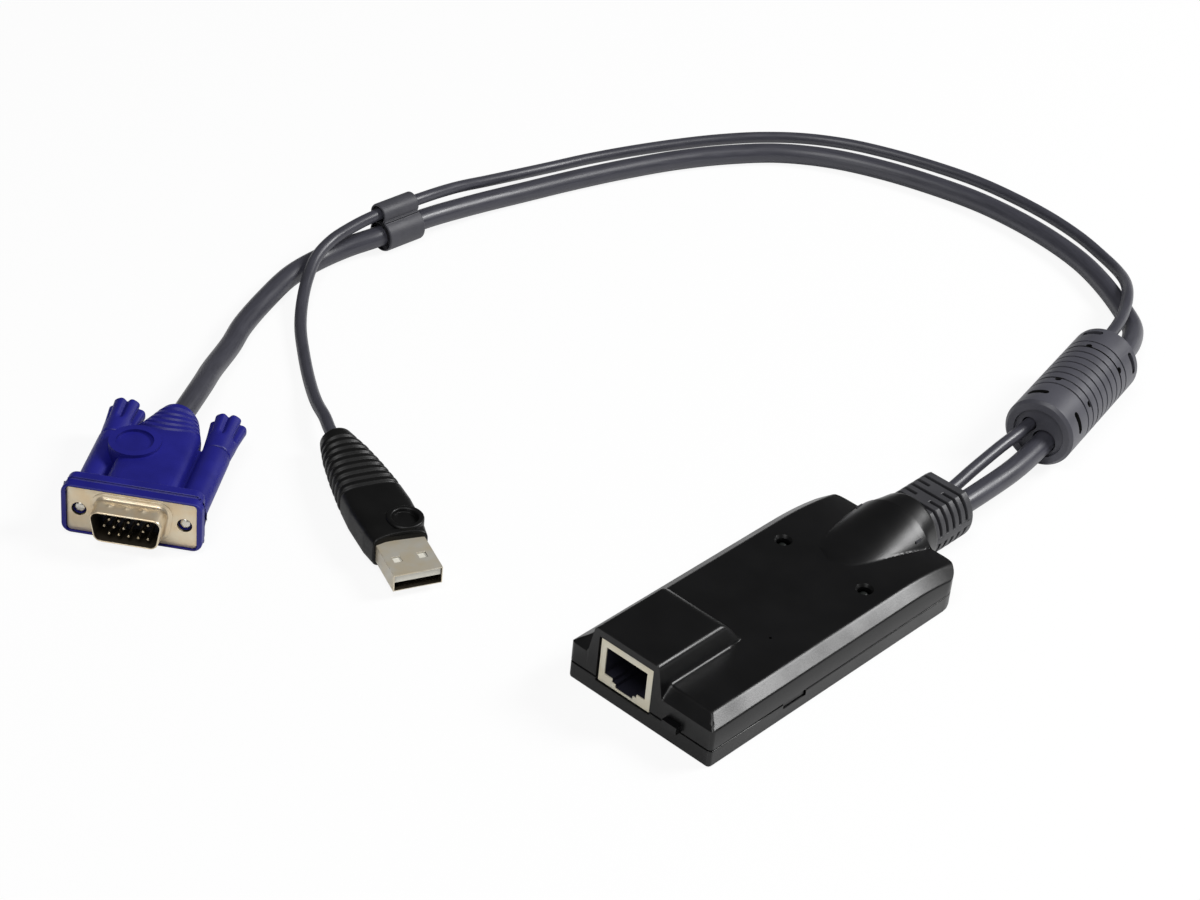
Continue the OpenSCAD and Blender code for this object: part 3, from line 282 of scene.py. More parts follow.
def gridFaces(rows, columns, closed=True):
    # quads between neighbouring rows, and from the last column to the first where the rows are closed
    r, c = np.meshgrid(np.arange(rows - 1), np.arange(columns if closed else columns - 1), indexing="ij")
    a = r * columns + c
    b = r * columns + (c + 1) % columns
    return np.stack([a, b, b + columns, a + columns], -1).reshape(-1, 4)


def closedSkin(rings):
    # points and faces of a tube of rings with both ends capped
    rows, sides = rings.shape[:2]
    faces = gridFaces(rows, sides).tolist()
    faces += [list(range(sides))[::-1], [(rows - 1) * sides + i for i in range(sides)]]
    return rings.reshape(-1, 3), faces


def outward(mesh, angle=30):
    # faces turned outwards, and edges sharper than the angle kept sharp
    work = bmesh.new()
    work.from_mesh(mesh)
    bmesh.ops.recalc_face_normals(work, faces=work.faces)
    for edge in work.edges:
        edge.smooth = len(edge.link_faces) == 2 and edge.calc_face_angle(0) < math.radians(angle)
    for face in work.faces:
        face.smooth = True
    work.to_mesh(mesh)
    work.free()


# cords, with their routes in millimetres

def smoothPath(route, step):
    # centripetal Catmull-Rom curve through the route, sampled evenly every step metres
    points = np.array(route, float) * mm
    ends = np.vstack([2 * points[0] - points[1], points, 2 * points[-1] - points[-2]])
    knots = np.concatenate([[0], np.cumsum(np.sqrt(np.linalg.norm(np.diff(ends, axis=0), axis=1)))])
    share = np.linspace(0, 1, 40, endpoint=False)
    index = np.arange(1, len(ends) - 2)
    t = (knots[index][:, None] + share * (knots[index + 1] - knots[index])[:, None])[..., None]
    k = [knots[index + offset][:, None, None] for offset in (-1, 0, 1, 2)]
    p = [ends[index + offset][:, None, :] for offset in (-1, 0, 1, 2)]
    first = [(k[i + 1] - t) / (k[i + 1] - k[i]) * p[i] + (t - k[i]) / (k[i + 1] - k[i]) * p[i + 1]
             for i in range(3)]
    second = [(k[i + 2] - t) / (k[i + 2] - k[i]) * first[i] + (t - k[i]) / (k[i + 2] - k[i]) * first[i + 1]
              for i in range(2)]
    curve = (k[2] - t) / (k[2] - k[1]) * second[0] + (t - k[1]) / (k[2] - k[1]) * second[1]
    curve = np.vstack([curve.reshape(-1, 3), points[-1]])
    travelled = np.concatenate([[0], np.cumsum(np.linalg.norm(np.diff(curve, axis=0), axis=1))])
    even = np.linspace(0, travelled[-1], int(round(travelled[-1] / step)) + 1)
    return np.stack([np.interp(even, travelled, curve[:, axis]) for axis in range(3)], 1), travelled[-1]


def tubeAlong(path, radius, sides):
    # path + radius (cos a side + sin a up): the side vector is level and the up vector square to side and path
    heading = np.gradient(path, axis=0)
    heading /= np.linalg.norm(heading, axis=1)[:, None]
    side = np.cross(heading, (0, 0, 1))
    side /= np.linalg.norm(side, axis=1)[:, None]
    up = np.cross(side, heading)
    angle = np.linspace(0, 2 * math.pi, sides, endpoint=False)
    return (path[:, None] + radius * (np.cos(angle)[:, None] * side[:, None]
                                      + np.sin(angle)[:, None] * up[:, None]))


def makeCord(name, route, diameter, node, sides=24):
    # a tube along the curve through the route, from its exit to its far end
    path, length = smoothPath(route, diameter * 0.35)
    mesh = newMesh(name, *closedSkin(tubeAlong(path, diameter / 2, sides)))
    mesh.polygons.foreach_set("use_smooth", np.full(len(mesh.polygons), True))
    # UV in metres: x is the distance round the jacket from the side opposite its seam, y the distance along it
    corner = np.zeros(len(mesh.loops), int)
    mesh.loops.foreach_get("vertex_index", corner)
    across = np.abs((corner % sides) / sides - 0.5) * math.pi * diameter
    along = (corner // sides) * length / (len(path) - 1)
    mesh.uv_layers.new(name="along").data.foreach_set("uv", np.stack([across, along], 1).ravel())
    mesh.materials.append(finish["leadGrey"])
    piece = settle(newObject(name, mesh), "adapter", node)
    print(name, "is", round(length, 3), "m long")


videoRoute = [(2.8, 54.5, 7.2), (2.8, 66, 7.2), (2.2, 80, 7.1), (0, 94.5, 7), (-4.4, 115.3, 7),
              (-8.9, 136.1, 7), (-11.2, 146, 6.2), (-14.8, 155.5, 4.4), (-19.5, 163, 3.1), (-26, 168.2, 2.8),
              (-37, 175, 2.8), (-48, 180, 2.8), (-60, 183, 2.8), (-73, 184.4, 2.8), (-87, 184, 2.8),
              (-101, 181.2, 2.8), (-116, 176.5, 2.8), (-130, 169.6, 2.8), (-141.5, 160, 2.8),
              (-150, 148, 2.8), (-157, 134.5, 2.8), (-162.8, 119.5, 2.8), (-168, 103, 2.8),
              (-172.5, 86, 2.8), (-175.6, 70, 3.5), (-177.6, 53, 4.5), (-178.8, 36.5, 4.5),
              (-181, 28, 3.7), (-182.3, 19, 2.8), (-181, 7.5, 2.8), (-176.7, -5, 2.8), (-170.8, -18.5, 2.8),
              (-165.6, -27, 3.2), (-158.1, -39.9, 5), (-153.7, -46.3, 6.3), (-149.6, -52.8, 7.2),
              (-144.08, -62.73, 7.4)]
dataRoute = [(-2.8, 54.5, 7.2), (-2.8, 60, 7.2), (-3.3, 70, 8.5), (-3.8, 81, 9.7), (-4.5, 93.6, 10.4),
             (-8.9, 114.4, 10.4), (-13.3, 135.2, 10.4), (-15.6, 144.5, 10), (-18.5, 153.5, 9.1),
             (-22, 161.5, 8.2), (-26.3, 169.2, 7.5), (-32, 177, 5.6), (-39, 183.8, 3.3), (-47.5, 189, 1.9),
             (-58, 192.9, 1.6), (-70, 195.1, 1.6), (-83, 195.7, 1.6), (-96, 194.8, 1.6), (-109, 191.8, 1.6),
             (-121.5, 187.6, 1.6), (-133, 182.2, 1.6), (-143.5, 174.5, 1.6), (-152, 165, 1.6),
             (-159, 154, 1.6), (-165, 142, 1.6), (-170.3, 129.5, 1.6), (-175, 116.5, 1.6), (-178.2, 103.5, 2),
             (-179.6, 91, 3.5), (-180, 79, 5.6), (-179.8, 66.5, 8.2), (-179.2, 53, 10.2), (-180.4, 36.5, 10.2),
             (-181, 29, 9.3), (-181, 21.7, 8), (-179, 14.5, 6.6), (-175.3, 8.2, 4.8), (-170, 1.5, 2.9),
             (-162.5, -6, 1.7), (-153, -13.6, 1.6), (-142.5, -21.2, 1.7), (-132.9, -27.6, 3),
             (-125.6, -31.6, 4.2), (-121.3, -34.1, 4.3), (-117.14, -36.08, 4.3)]


# pieces that keep the shape of their CAD node, with their edges rounded as moulding and pressing leave them

def softened(node, look, body, slot, rounds, place=(0, 0, 0), turn=0, joinFaces=True, bow=None):
    # rounds lists boxes in the piece's own frame in millimetres, each with the radius its edges take
    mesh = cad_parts[node].data.copy()
    if bow:
        # past bow's start each point moves along the piece by depth (2 (x / half)^2 - 1), less towards bow's end
        points = inOwnFrame(readRows(mesh.vertices, "co"), place, turn)
        fade = np.clip((bow["end"] - points[:, 1]) / bow["fade"], 0, 1) * (points[:, 1] > bow["start"])
        points[:, 1] += bow["depth"] * (2 * (points[:, 0] / bow["half"]) ** 2 - 1) * fade
        mesh.vertices.foreach_set("co", placed(points, place, turn).ravel())
    work = bmesh.new()
    work.from_mesh(mesh)
    bmesh.ops.remove_doubles(work, verts=work.verts, dist=edging["weld"])
    if joinFaces:
        bmesh.ops.dissolve_limit(work, angle_limit=math.radians(edging["flat"]), verts=work.verts,
                                 edges=work.edges)
    weights = work.edges.layers.float.new("bevel_weight_edge")
    # a sharp edge takes the radius of the last box that its middle is in
    middles = np.array([(edge.verts[0].co + edge.verts[1].co) / 2 for edge in work.edges])
    middles = inOwnFrame(middles, place, turn)
    radii = np.zeros(len(middles))
    for low, high, radius in rounds:
        radii[np.all((middles >= low) & (middles <= high), axis=1)] = radius
    widest = max(radius for *_, radius in rounds)
    for edge, radius in zip(work.edges, radii.tolist()):
        bend = edge.calc_face_angle(0) if len(edge.link_faces) == 2 else 0
        edge.smooth = bend < math.radians(edging["sharp"])
        edge[weights] = 0 if edge.smooth else radius / widest
    for face in work.faces:
        face.smooth = True
    work.to_mesh(mesh)
    work.free()
    if mesh.attributes.get("custom_normal"):
        mesh.attributes.remove(mesh.attributes["custom_normal"])
    mesh.materials.clear()
    mesh.materials.append(finish[look])
    piece = newObject(node.replace("_", "") + "Finished", mesh)
    bevel = piece.modifiers.new("edges", "BEVEL")
    bevel.width, bevel.segments = widest * mm, edging["segments"]
    bevel.limit_method = "WEIGHT"
    bevel.harden_normals = True
    bevel.use_clamp_overlap = False
    if not joinFaces:
        # the rounded points are held between the solid's least and greatest, along the piece's own axes
        rounded = finishedMesh(piece)
        solid, held = (inOwnFrame(readRows(each.vertices, "co"), place, turn) for each in (mesh, rounded))
        held = np.clip(held, solid.min(0), solid.max(0))
        rounded.vertices.foreach_set("co", placed(held, place, turn).ravel())
        rounded.update()
        piece.modifiers.clear()
        piece.data = rounded
    return settle(piece, body, node)


# weld in metres; flat and sharp in degrees: edges flatter than flat are dissolved, sharper than sharp rounded
edging = {"weld": 0.000004, "flat": 0.6, "sharp": 28, "segments": 3}
# own frames of the two plugs, the ferrite and the clip: place in millimetres, turn about the vertical in degrees
videoPlace = {"place": (-121.2, -96.15, 7.4), "turn": 34.4}
dataPlace = {"place": (-64.07, -59.49, 4.3), "turn": 66.2}
ferritePlace = {"place": (-6, 115, 9.2), "turn": 12}
clipPlace = {"place": (-178.27, 43.6, 4.5), "turn": -4.16}
videoBow = {"start": 29, "end": 40.4, "fade": 2, "depth": 1, "half": 7}
near, far = (-999, -999, -999), (999, 999, 999)
softEdges = {
    "bottom_cover": ("housingBlack", "adapter", "housing", [
        ((-22, -55, -0.1), (22, 42, 0.1), 0.6), ((-22, -55, 4.4), (22, 35, 4.6), 0.22)], {}),
    "jack_shield": ("creamNickel", "adapter", "plated_sheet", [(near, (99, -53.9, 99), 0.15)], {}),
    "cable_gland": ("glandGrey", "adapter", "soft_grey", [((-9.5, 40, 0), (9.5, 55, 16), 0.22)], {}),
    "ferrite_cover": ("ferriteGrey", "adapter", "ferrite_plastic", [(near, far, 0.12)], ferritePlace),
    "lead_clip": ("clipGrey", "adapter", "soft_grey", [(near, far, 0.45)], clipPlace),
    "video_plug_hood": ("plugBlue", "adapter", "blue_plastic", [
        ((-17, -0.7, -8), (17, 4.7, 8), 0.45), ((-15.6, -1, -6.5), (15.6, 1, 6.5), 0)],
        {**videoPlace, "joinFaces": False, "bow": videoBow}),
    "data_plug_shell": ("nickelSheet", "adapter", "plated_sheet", [(near, (99, 11.7, 99), 0.12)], dataPlace),
}
dressed = {node: softened(node, look, body, slot, rounds, **setting)
           for node, (look, body, slot, rounds, setting) in softEdges.items()}


# top shell: one height field over the plan, with walls down to the joint and its openings cut out

topShell = {
    "halfWidth": 21, "frontY": -54.5, "rearY": 34.5, "frontRound": 1, "rearRound": 6, "joint": 4.5,
    "topZ": 12.4, "bevelZ": 10, "bevelIn": 3.2, "frontIn": 3, "bevelBlend": 0.35,
    "wallZ": 9.75, "wallLean": 3, "wallBlend": 0.4, "dropStart": 14.5, "drop": 2.4, "run": 20,
    # hood over the jack
    "hoodX": -5, "hoodHalf": 9.6, "hoodZ": 18.2, "hoodBack": -32.1, "hoodRound": 1.3, "roundShare": 0.96,
    "flankSlope": 5, "backSlope": 1.38, "backBlend": 2.6, "lipDrop": 0.25, "lipBlend": 0.3, "hoodBlend": 0.9,
    "footRound": 1.2, "footOut": 0.7, "footFade": 1.5,
    # hump towards the gland
    "humpY": (9.6, 12, 15.3, 18.5, 23, 28, 33, 36), "humpHalf": (0.3, 4.7, 6.4, 7.5, 8.5, 9.6, 10.6, 10.9),
    "humpRise": 0.163, "humpPower": 0.8,
    # groove over the joint, on the walls past grooveBeyond from the middle
    "groove": 0.42, "grooveDepth": 0.6, "grooveBeyond": 10,
    # grid steps, usual and fine, and the places where it is fine
    "columnStep": (0.014, 0.007), "fineColumns": (-20.9, -17.8, -14.8, 4.8, 17.8, 20.9),
    "rowStep": (0.5, 0.12), "fineRows": (-54.5, -51.5, -31.8, -28.2, 10.8, 34.5),
    # two boxes of the hollow, the jack's window and the switch's window
    "boxes": (((-19.4, -52.9, 3), (19.4, 16, 10.8)), ((-19.4, 15.9, 3), (19.4, 32.9, 8.2)),
              ((-13, -56, 3.7), (3, -36.8, 16.1)), ((7.85, -56, 4.65), (12.15, -52, 6.55))),
    # holes as place, (radius, height) profile and sides: the two lights and the small pin hole
    "holes": (((-12.2, 7.7), ((1.6, 8), (1.6, 11.75), (1.75, 11.95), (2.1, 12.35), (3, 13.3)), 40),
              ((12.2, 7.7), ((1.6, 8), (1.6, 11.75), (1.75, 11.95), (2.1, 12.35), (3, 13.3)), 40),
              ((9.49, -22.46), ((0.35, 8), (0.35, 14)), 20)),
    "snaps": (((-20.6, -29.7, 3.4), (-19.8, -22.5, 6.5)), ((19.8, -29.7, 3.4), (20.6, -22.5, 6.5))),
}
# collar behind the rear edge, as steps of (place along it, half width, height over its axis)
collar = {"axisZ": 7.2, "from": -17.3, "to": 197.3, "sides": 64,
          "steps": ((-0.9, 10.8, 9.02), (0, 10.75, 9.02), (1.5, 10.2, 9.05), (3.2, 9.6, 9.08), (4.8, 9.2, 9.1),
                    (5.3, 9.1, 9.05), (5.55, 8.95, 8.95), (5.7, 8.7, 8.7))}


def softMin(a, b, blend):
    # the smaller of two heights, lowered by (blend - |a - b|)^2 / (4 blend) where they are closer than blend
    return np.minimum(a, b) - np.maximum(blend - np.abs(a - b), 0) ** 2 / (4 * blend)


def softMax(a, b, blend):
    # the larger of two heights, raised in the same way
    return -softMin(-a, -b, blend)


def shellHeight(x, y, s):
    # lowest of the flat top, the bevels and the leaning wall, and then highest of that, the jack hood and the hump
    drop = s["drop"] * (np.maximum(y - s["dropStart"], 0) / s["run"]) ** 2
    fromSide, fromFront = s["halfWidth"] - np.abs(x), y - s["frontY"]
    side = s["bevelZ"] + fromSide * (s["topZ"] - s["bevelZ"]) / s["bevelIn"]
    front = s["bevelZ"] + fromFront * (s["topZ"] - s["bevelZ"]) / s["frontIn"]
    base = softMin(np.full_like(x, s["topZ"]), side, s["bevelBlend"])
    base = softMin(base, front, s["bevelBlend"]) - drop
    base = softMin(base, s["wallZ"] - drop + s["wallLean"] * fromSide, s["wallBlend"])
    # hood across: flat, then a round of radius r, then the flank, and a fillet of radius f at its foot
    r, f, out = s["hoodRound"], s["footRound"], np.abs(x - s["hoodX"])
    past = np.clip(out - (s["hoodHalf"] - r), 0, s["roundShare"] * r)
    beyond = np.maximum(out - s["hoodHalf"] + (1 - s["roundShare"]) * r, 0)
    flank = s["hoodZ"] - r + np.sqrt(r * r - past ** 2) - beyond * s["flankSlope"]
    toFoot = f - np.clip(out - s["hoodHalf"] - s["footOut"], 0, f)
    fade = np.clip((s["hoodBack"] + s["footFade"] - y) / s["footFade"], 0, 1)
    foot = base + (f - np.sqrt(f * f - toFoot ** 2)) * fade
    # hood along: a slope at its back and a lip at its front
    back = s["hoodZ"] - (y - s["hoodBack"]) * s["backSlope"]
    hood = softMin(flank, back, s["backBlend"])
    hood = softMin(hood, s["hoodZ"] - s["lipDrop"] + fromFront, s["lipBlend"])
    # hump: an arch (1 - (x / half)^2)^power that rises and widens towards the gland
    half = np.interp(y, s["humpY"], s["humpHalf"])
    rise = np.maximum(s["humpRise"] * (y - s["humpY"][0]), 0) + drop
    arch = np.maximum(1 - (x / half) ** 2, 0) ** s["humpPower"]
    hump = base + np.where(y > s["humpY"][0], rise * arch, 0)
    ground = np.where(out < s["hoodHalf"] + s["footOut"], base, foot)
    return np.maximum(softMax(ground, hood, s["hoodBlend"]), hump)


def denseLine(low, high, step, fine, places):
    # values from low to high every step, with closer ones round the given places
    parts = [np.arange(low, high, step)] + [place + np.arange(-8, 9) * fine for place in places]
    line = np.unique(np.round(np.concatenate(parts), 3))
    line = line[(line > low + fine / 3) & (line < high - fine / 3)]
    return np.concatenate([[low], line, [high]])


def cutFrom(mesh, cutters):
    # boolean difference with closed cutter meshes, one after another
    holder = newObject("holder", mesh)
    for cutter in cutters:
        tool = newObject("cutter", cutter)
        cut = holder.modifiers.new("cut", "BOOLEAN")
        cut.operation, cut.solver, cut.object = "DIFFERENCE", "EXACT", tool
        fresh = finishedMesh(holder)
        holder.modifiers.clear()
        holder.data = fresh
        bpy.data.objects.remove(tool)
    result = holder.data
    bpy.data.objects.remove(holder)
    return result


def boxMesh(low, high):
    # box between its lowest and its highest corner
    corners = [(x, y, z) for x in (low[0], high[0]) for y in (low[1], high[1]) for z in (low[2], high[2])]
    faces = [(0, 1, 3, 2), (4, 6, 7, 5), (0, 4, 5, 1), (2, 3, 7, 6), (0, 2, 6, 4), (1, 5, 7, 3)]
    return newMesh("box", np.array(corners) * mm, faces)


def turnedMesh(place, profile, sides):
    # (x + r cos a, y + r sin a, z) for each (r, z) of the profile, closed at both ends
    angle = np.linspace(0, 2 * math.pi, sides, endpoint=False)
    r, z = np.array(profile, float).T
    rings = np.stack([place[0] + r[:, None] * np.cos(angle), place[1] + r[:, None] * np.sin(angle),
                      np.broadcast_to(z[:, None], (len(r), sides))], -1)
    points, faces = closedSkin(rings)
    return newMesh("turned", points * mm, faces)


def makeCollar(c, rearY, joint):
    # rings (w cos a, y, axis + h sin a), cut off level at the joint
    steps = np.array(c["steps"])
    angle = np.linspace(math.radians(c["from"]), math.radians(c["to"]), c["sides"])
    rings = np.stack([steps[:, 1, None] * np.cos(angle),
                      np.broadcast_to(rearY + steps[:, 0, None], (len(steps), c["sides"])),
                      c["axisZ"] + steps[:, 2, None] * np.sin(angle)], -1)
    rings[..., 2] = np.maximum(rings[..., 2], joint)
    points, faces = closedSkin(rings)
    return newMesh("collar", points * mm, faces)


def makeTopShell(s):
    xs = denseLine(-1, 1, *s["columnStep"], [place / s["halfWidth"] for place in s["fineColumns"]])
    ys = denseLine(s["frontY"], s["rearY"], *s["rowStep"], s["fineRows"])
    # half width of the plan at each row: the long side less r - sqrt(r^2 - d^2) in the round corners of both ends
    a, b = s["frontRound"], s["rearRound"]
    fromFront = np.clip(a - (ys - s["frontY"]), 0, a)
    fromRear = np.clip(b - (s["rearY"] - ys), 0, b)
    half = s["halfWidth"] - (a - np.sqrt(a * a - fromFront ** 2)) - (b - np.sqrt(b * b - fromRear ** 2))
    x = xs[None] * half[:, None]
    y = np.broadcast_to(ys[:, None], x.shape)
    rows, columns = x.shape
    field = np.stack([x, y, shellHeight(x, y, s)], -1).reshape(-1, 3)
    index = np.arange(rows * columns).reshape(rows, columns)
    rim = np.concatenate([index[0, :-1], index[:-1, -1], index[-1, :0:-1], index[:0:-1, 0]])
    # walls go down from the rim to the groove, into it, and down to the joint
    walls = []
    for level, inset in ((s["joint"] + s["groove"], 0), (s["joint"] + s["groove"], s["grooveDepth"]),
                         (s["joint"], s["grooveDepth"])):
        ring = field[rim].copy()
        ring[:, 2] = level
        ring[:, 0] -= np.sign(ring[:, 0]) * inset * (np.abs(ring[:, 0]) > s["grooveBeyond"])
        ring[:, 1] = np.clip(ring[:, 1], s["frontY"] + inset, s["rearY"] - inset)
        walls.append(ring)
    faces = gridFaces(rows, columns, closed=False).tolist()
    n, count = len(rim), rows * columns
    loops = [rim] + [count + k * n + np.arange(n) for k in range(3)]
    for upper, lower in zip(loops, loops[1:]):
        faces += np.stack([upper, lower, np.roll(lower, -1), np.roll(upper, -1)], 1).tolist()
    faces.append(loops[-1][::-1].tolist())
    mesh = newMesh("topShell", np.vstack([field, *walls]) * mm, faces)
    outward(mesh)
    mesh = cutFrom(mesh, [boxMesh(*box) for box in s["boxes"]] + [turnedMesh(*hole) for hole in s["holes"]])
    work = bmesh.new()
    for part in (mesh, makeCollar(collar, s["rearY"], s["joint"]), *(boxMesh(*box) for box in s["snaps"])):
        outward(part)
        work.from_mesh(part)
    work.to_mesh(mesh)
    work.free()
    mesh.materials.clear()
    mesh.materials.append(finish["housingBlack"])
    settle(newObject("topShell", mesh), "adapter", "top_cover")
    print("top shell:", len(mesh.polygons), "faces")


makeTopShell(topShell)


# pieces made new in a plug's own frame

def joinedPiece(name, parts, look, body, slot, node, place, turn):
    # parts are pairs of points in millimetres and faces, each a closed skin
    work = bmesh.new()
    for points, faces in parts:
        skin = newMesh("part", placed(points, place, turn), faces)
        outward(skin, 40)
        work.from_mesh(skin)
    mesh = bpy.data.meshes.new(name)
    work.to_mesh(mesh)
    work.free()
    mesh.materials.append(finish[look])
    return settle(newObject(name, mesh), body, node)


# half the distance between the video plug's two screws
screwSide = 12.495
knobShape = {"start": 28.1, "length": 12.6, "frontRadius": 3.5, "endRadius": 4.6, "growth": 1.3, "lip": 0.25,
             "round": 0.7, "lobes": 6, "depth": 1.15, "flutesFrom": 4.4, "flutesRun": 2.2, "fluteWidth": 0.17,
             "sides": 96}
rodShape = {"start": 0.4, "end": 38, "radius": 1.42, "dome": 0.55, "sides": 40}


def turnedRings(side, radius, y, angle):
    # (side's screw + r cos a, y, r sin a), where the radius may change with the angle too
    return np.stack([side * screwSide + radius * np.cos(angle), np.broadcast_to(y[:, None], radius.shape),
                     radius * np.sin(angle)], -1)


def knobRings(side, s):
    # radius = front + (end - front) (y / length)^growth, less a small lip at the front and a round at the end
    smooth = s["length"] - s["round"]
    y = np.concatenate([[0, 0.08, 0.25], np.linspace(0.5, smooth, 50),
                        s["length"] - s["round"] * (1 - np.sin(np.linspace(0.2, math.pi / 2, 7)))])
    angle = np.linspace(0, 2 * math.pi, s["sides"], endpoint=False)
    radius = s["frontRadius"] + (s["endRadius"] - s["frontRadius"]) * (y / s["length"]) ** s["growth"]
    radius -= np.where(y < 0.3, s["lip"] - y * 0.8, 0)
    over = np.clip((y - smooth) / s["round"], 0, 1)
    radius -= s["round"] * (1 - np.sqrt(1 - over ** 2))
    # each flute sinks it by depth exp(-(off / width)^2), which sets in smoothly past the front
    begin = np.clip((y - s["flutesFrom"]) / s["flutesRun"], 0, 1)
    begin = begin * begin * (3 - 2 * begin)
    off = (angle * s["lobes"] / (2 * math.pi)) % 1 - 0.5
    dip = s["depth"] * begin[:, None] * np.exp(-(off / s["fluteWidth"]) ** 2)
    return turnedRings(side, radius[:, None] - dip, s["start"] + y, angle)


def rodRings(side, s):
    # a domed end, y = start + dome (1 - cos t) and r = radius sin t, then a plain rod
    t = np.linspace(0.03, math.pi / 2, 10)
    y = np.concatenate([s["start"] + s["dome"] * (1 - np.cos(t)), [s["end"]]])
    radius = np.concatenate([s["radius"] * np.sin(t), [s["radius"]]])
    angle = np.linspace(0, 2 * math.pi, s["sides"], endpoint=False)
    return turnedRings(side, np.repeat(radius[:, None], s["sides"], axis=1), y, angle)


def onBothScrews(kind, ringsOf, shape, look, slot):
    for side, name in ((-1, "left"), (1, "right")):
        skin = closedSkin(ringsOf(side, shape))
        dressed[f"{name}_{kind}"] = joinedPiece(name + kind.capitalize(), [skin], look, name + "_thumbscrew",
                                                slot, f"{name}_{kind}", **videoPlace)


onBothScrews("knob", knobRings, knobShape, "plugBlue", "blue_plastic")

# nodes that keep their own mesh and only take a finish
plainFinish = {
    "boardGreen": ["main_board"],
    "chipResin": ["processor_chip", "memory_chip", "driver_chips", "video_wires", "data_wires"],
    "tanCeramic": ["chip_capacitors"],
    "drawnCan": ["electrolytic_capacitors", "crystal"],
    "blockBlack": ["jack_insulator", "switch_body", "switch_slider", "video_plug_insulator"],
    "contactGold": ["jack_contacts", "video_plug_pins", "data_plug_contacts"],
    "milkyLens": ["online_light", "power_light"],
    "ivoryPlastic": ["light_spacers", "video_header", "data_header", "data_plug_tongue"],
    "ferriteBlackAndShade": ["ferrite_core"],
}
for look, nodes in plainFinish.items():
    for node in nodes:
        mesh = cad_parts[node].data
        mesh.materials.clear()
        mesh.materials.append(finish[look])


# video plug's shell with its plate: the shell's profile is in steps of (place along it, inset)

plugShell = {
    "width": 17, "height": 8.4, "round": 2.2, "slope": 10, "length": 5.7, "wallStart": -1.4, "wallStep": 0.18,
    "flare": [(0.3, -1.2), (-0.12, -1.2), (-0.22, -1.05), (-0.24, -0.8), (-0.34, -0.45), (-0.6, -0.18),
              (-1, -0.04)],
    "rim": [(-5.4, 0.02), (-5.58, 0.1), (-5.68, 0.2), (-5.7, 0.3), (-5.62, 0.42), (-5.45, 0.5), (0.3, 0.5)],
    "bumps": (-4.4, -0.4, 3.6), "bumpAt": -2.7, "bumpRise": 0.42, "bumpSpread": 0.6, "bumpsOver": 3.5,
    "plateWidth": 30.8, "plateHeight": 12.5, "plateRound": 1, "holeRadius": 1.8, "cutInset": 0.3,
    "plateEdge": [(0.5, 0), (0.12, 0), (0.04, 0.04), (0, 0.12)]}


def evenLoop(points, count):
    # the closed outline resampled evenly along its length
    loop = np.vstack([points, points[:1]])
    travelled = np.concatenate([[0], np.cumsum(np.linalg.norm(np.diff(loop, axis=0), axis=1))])
    at = np.linspace(0, travelled[-1], count, endpoint=False)
    return np.stack([np.interp(at, travelled, loop[:, axis]) for axis in range(2)], 1)


def roundOutline(centres, radius, angles, count):
    # arcs centre + radius (cos a, sin a) about four centres, each from its first to its second angle in degrees
    arcs = []
    for centre, (first, last) in zip(centres, angles):
        a = np.radians(np.linspace(first, last, 14))
        arcs.append(np.array(centre) + radius * np.stack([np.cos(a), np.sin(a)], 1))
    return evenLoop(np.vstack(arcs), count)


def wedgeOutline(s, inset, count=180):
    # wide side up, its ends slanting inwards below
    w, h, r, a = s["width"] / 2 - inset, s["height"] / 2 - inset, s["round"] - inset, s["slope"]
    top = w - r
    low = top - 2 * (h - r) * math.tan(math.radians(a))
    return roundOutline([(low, r - h), (top, h - r), (-top, h - r), (-low, r - h)], r,
                        [(-90, -a), (-a, 90), (90, 180 + a), (180 + a, 270)], count)


def boxOutline(width, height, r, count=120):
    # rectangle with corners of radius r
    x, z = width / 2 - r, height / 2 - r
    return roundOutline([(x, -z), (x, z), (-x, z), (-x, -z)], r, [(-90, 0), (0, 90), (90, 180), (180, 270)], count)


def ringAt(outline, y):
    # the outline's (x, z) at y along the plug
    return np.stack([outline[:, 0], np.full(len(outline), y), outline[:, 1]], 1)


def plugMesh(name, rings):
    # closed skin of the rings, given in millimetres
    points, faces = closedSkin(np.stack(rings))
    mesh = newMesh(name, points * mm, faces)
    outward(mesh)
    return mesh


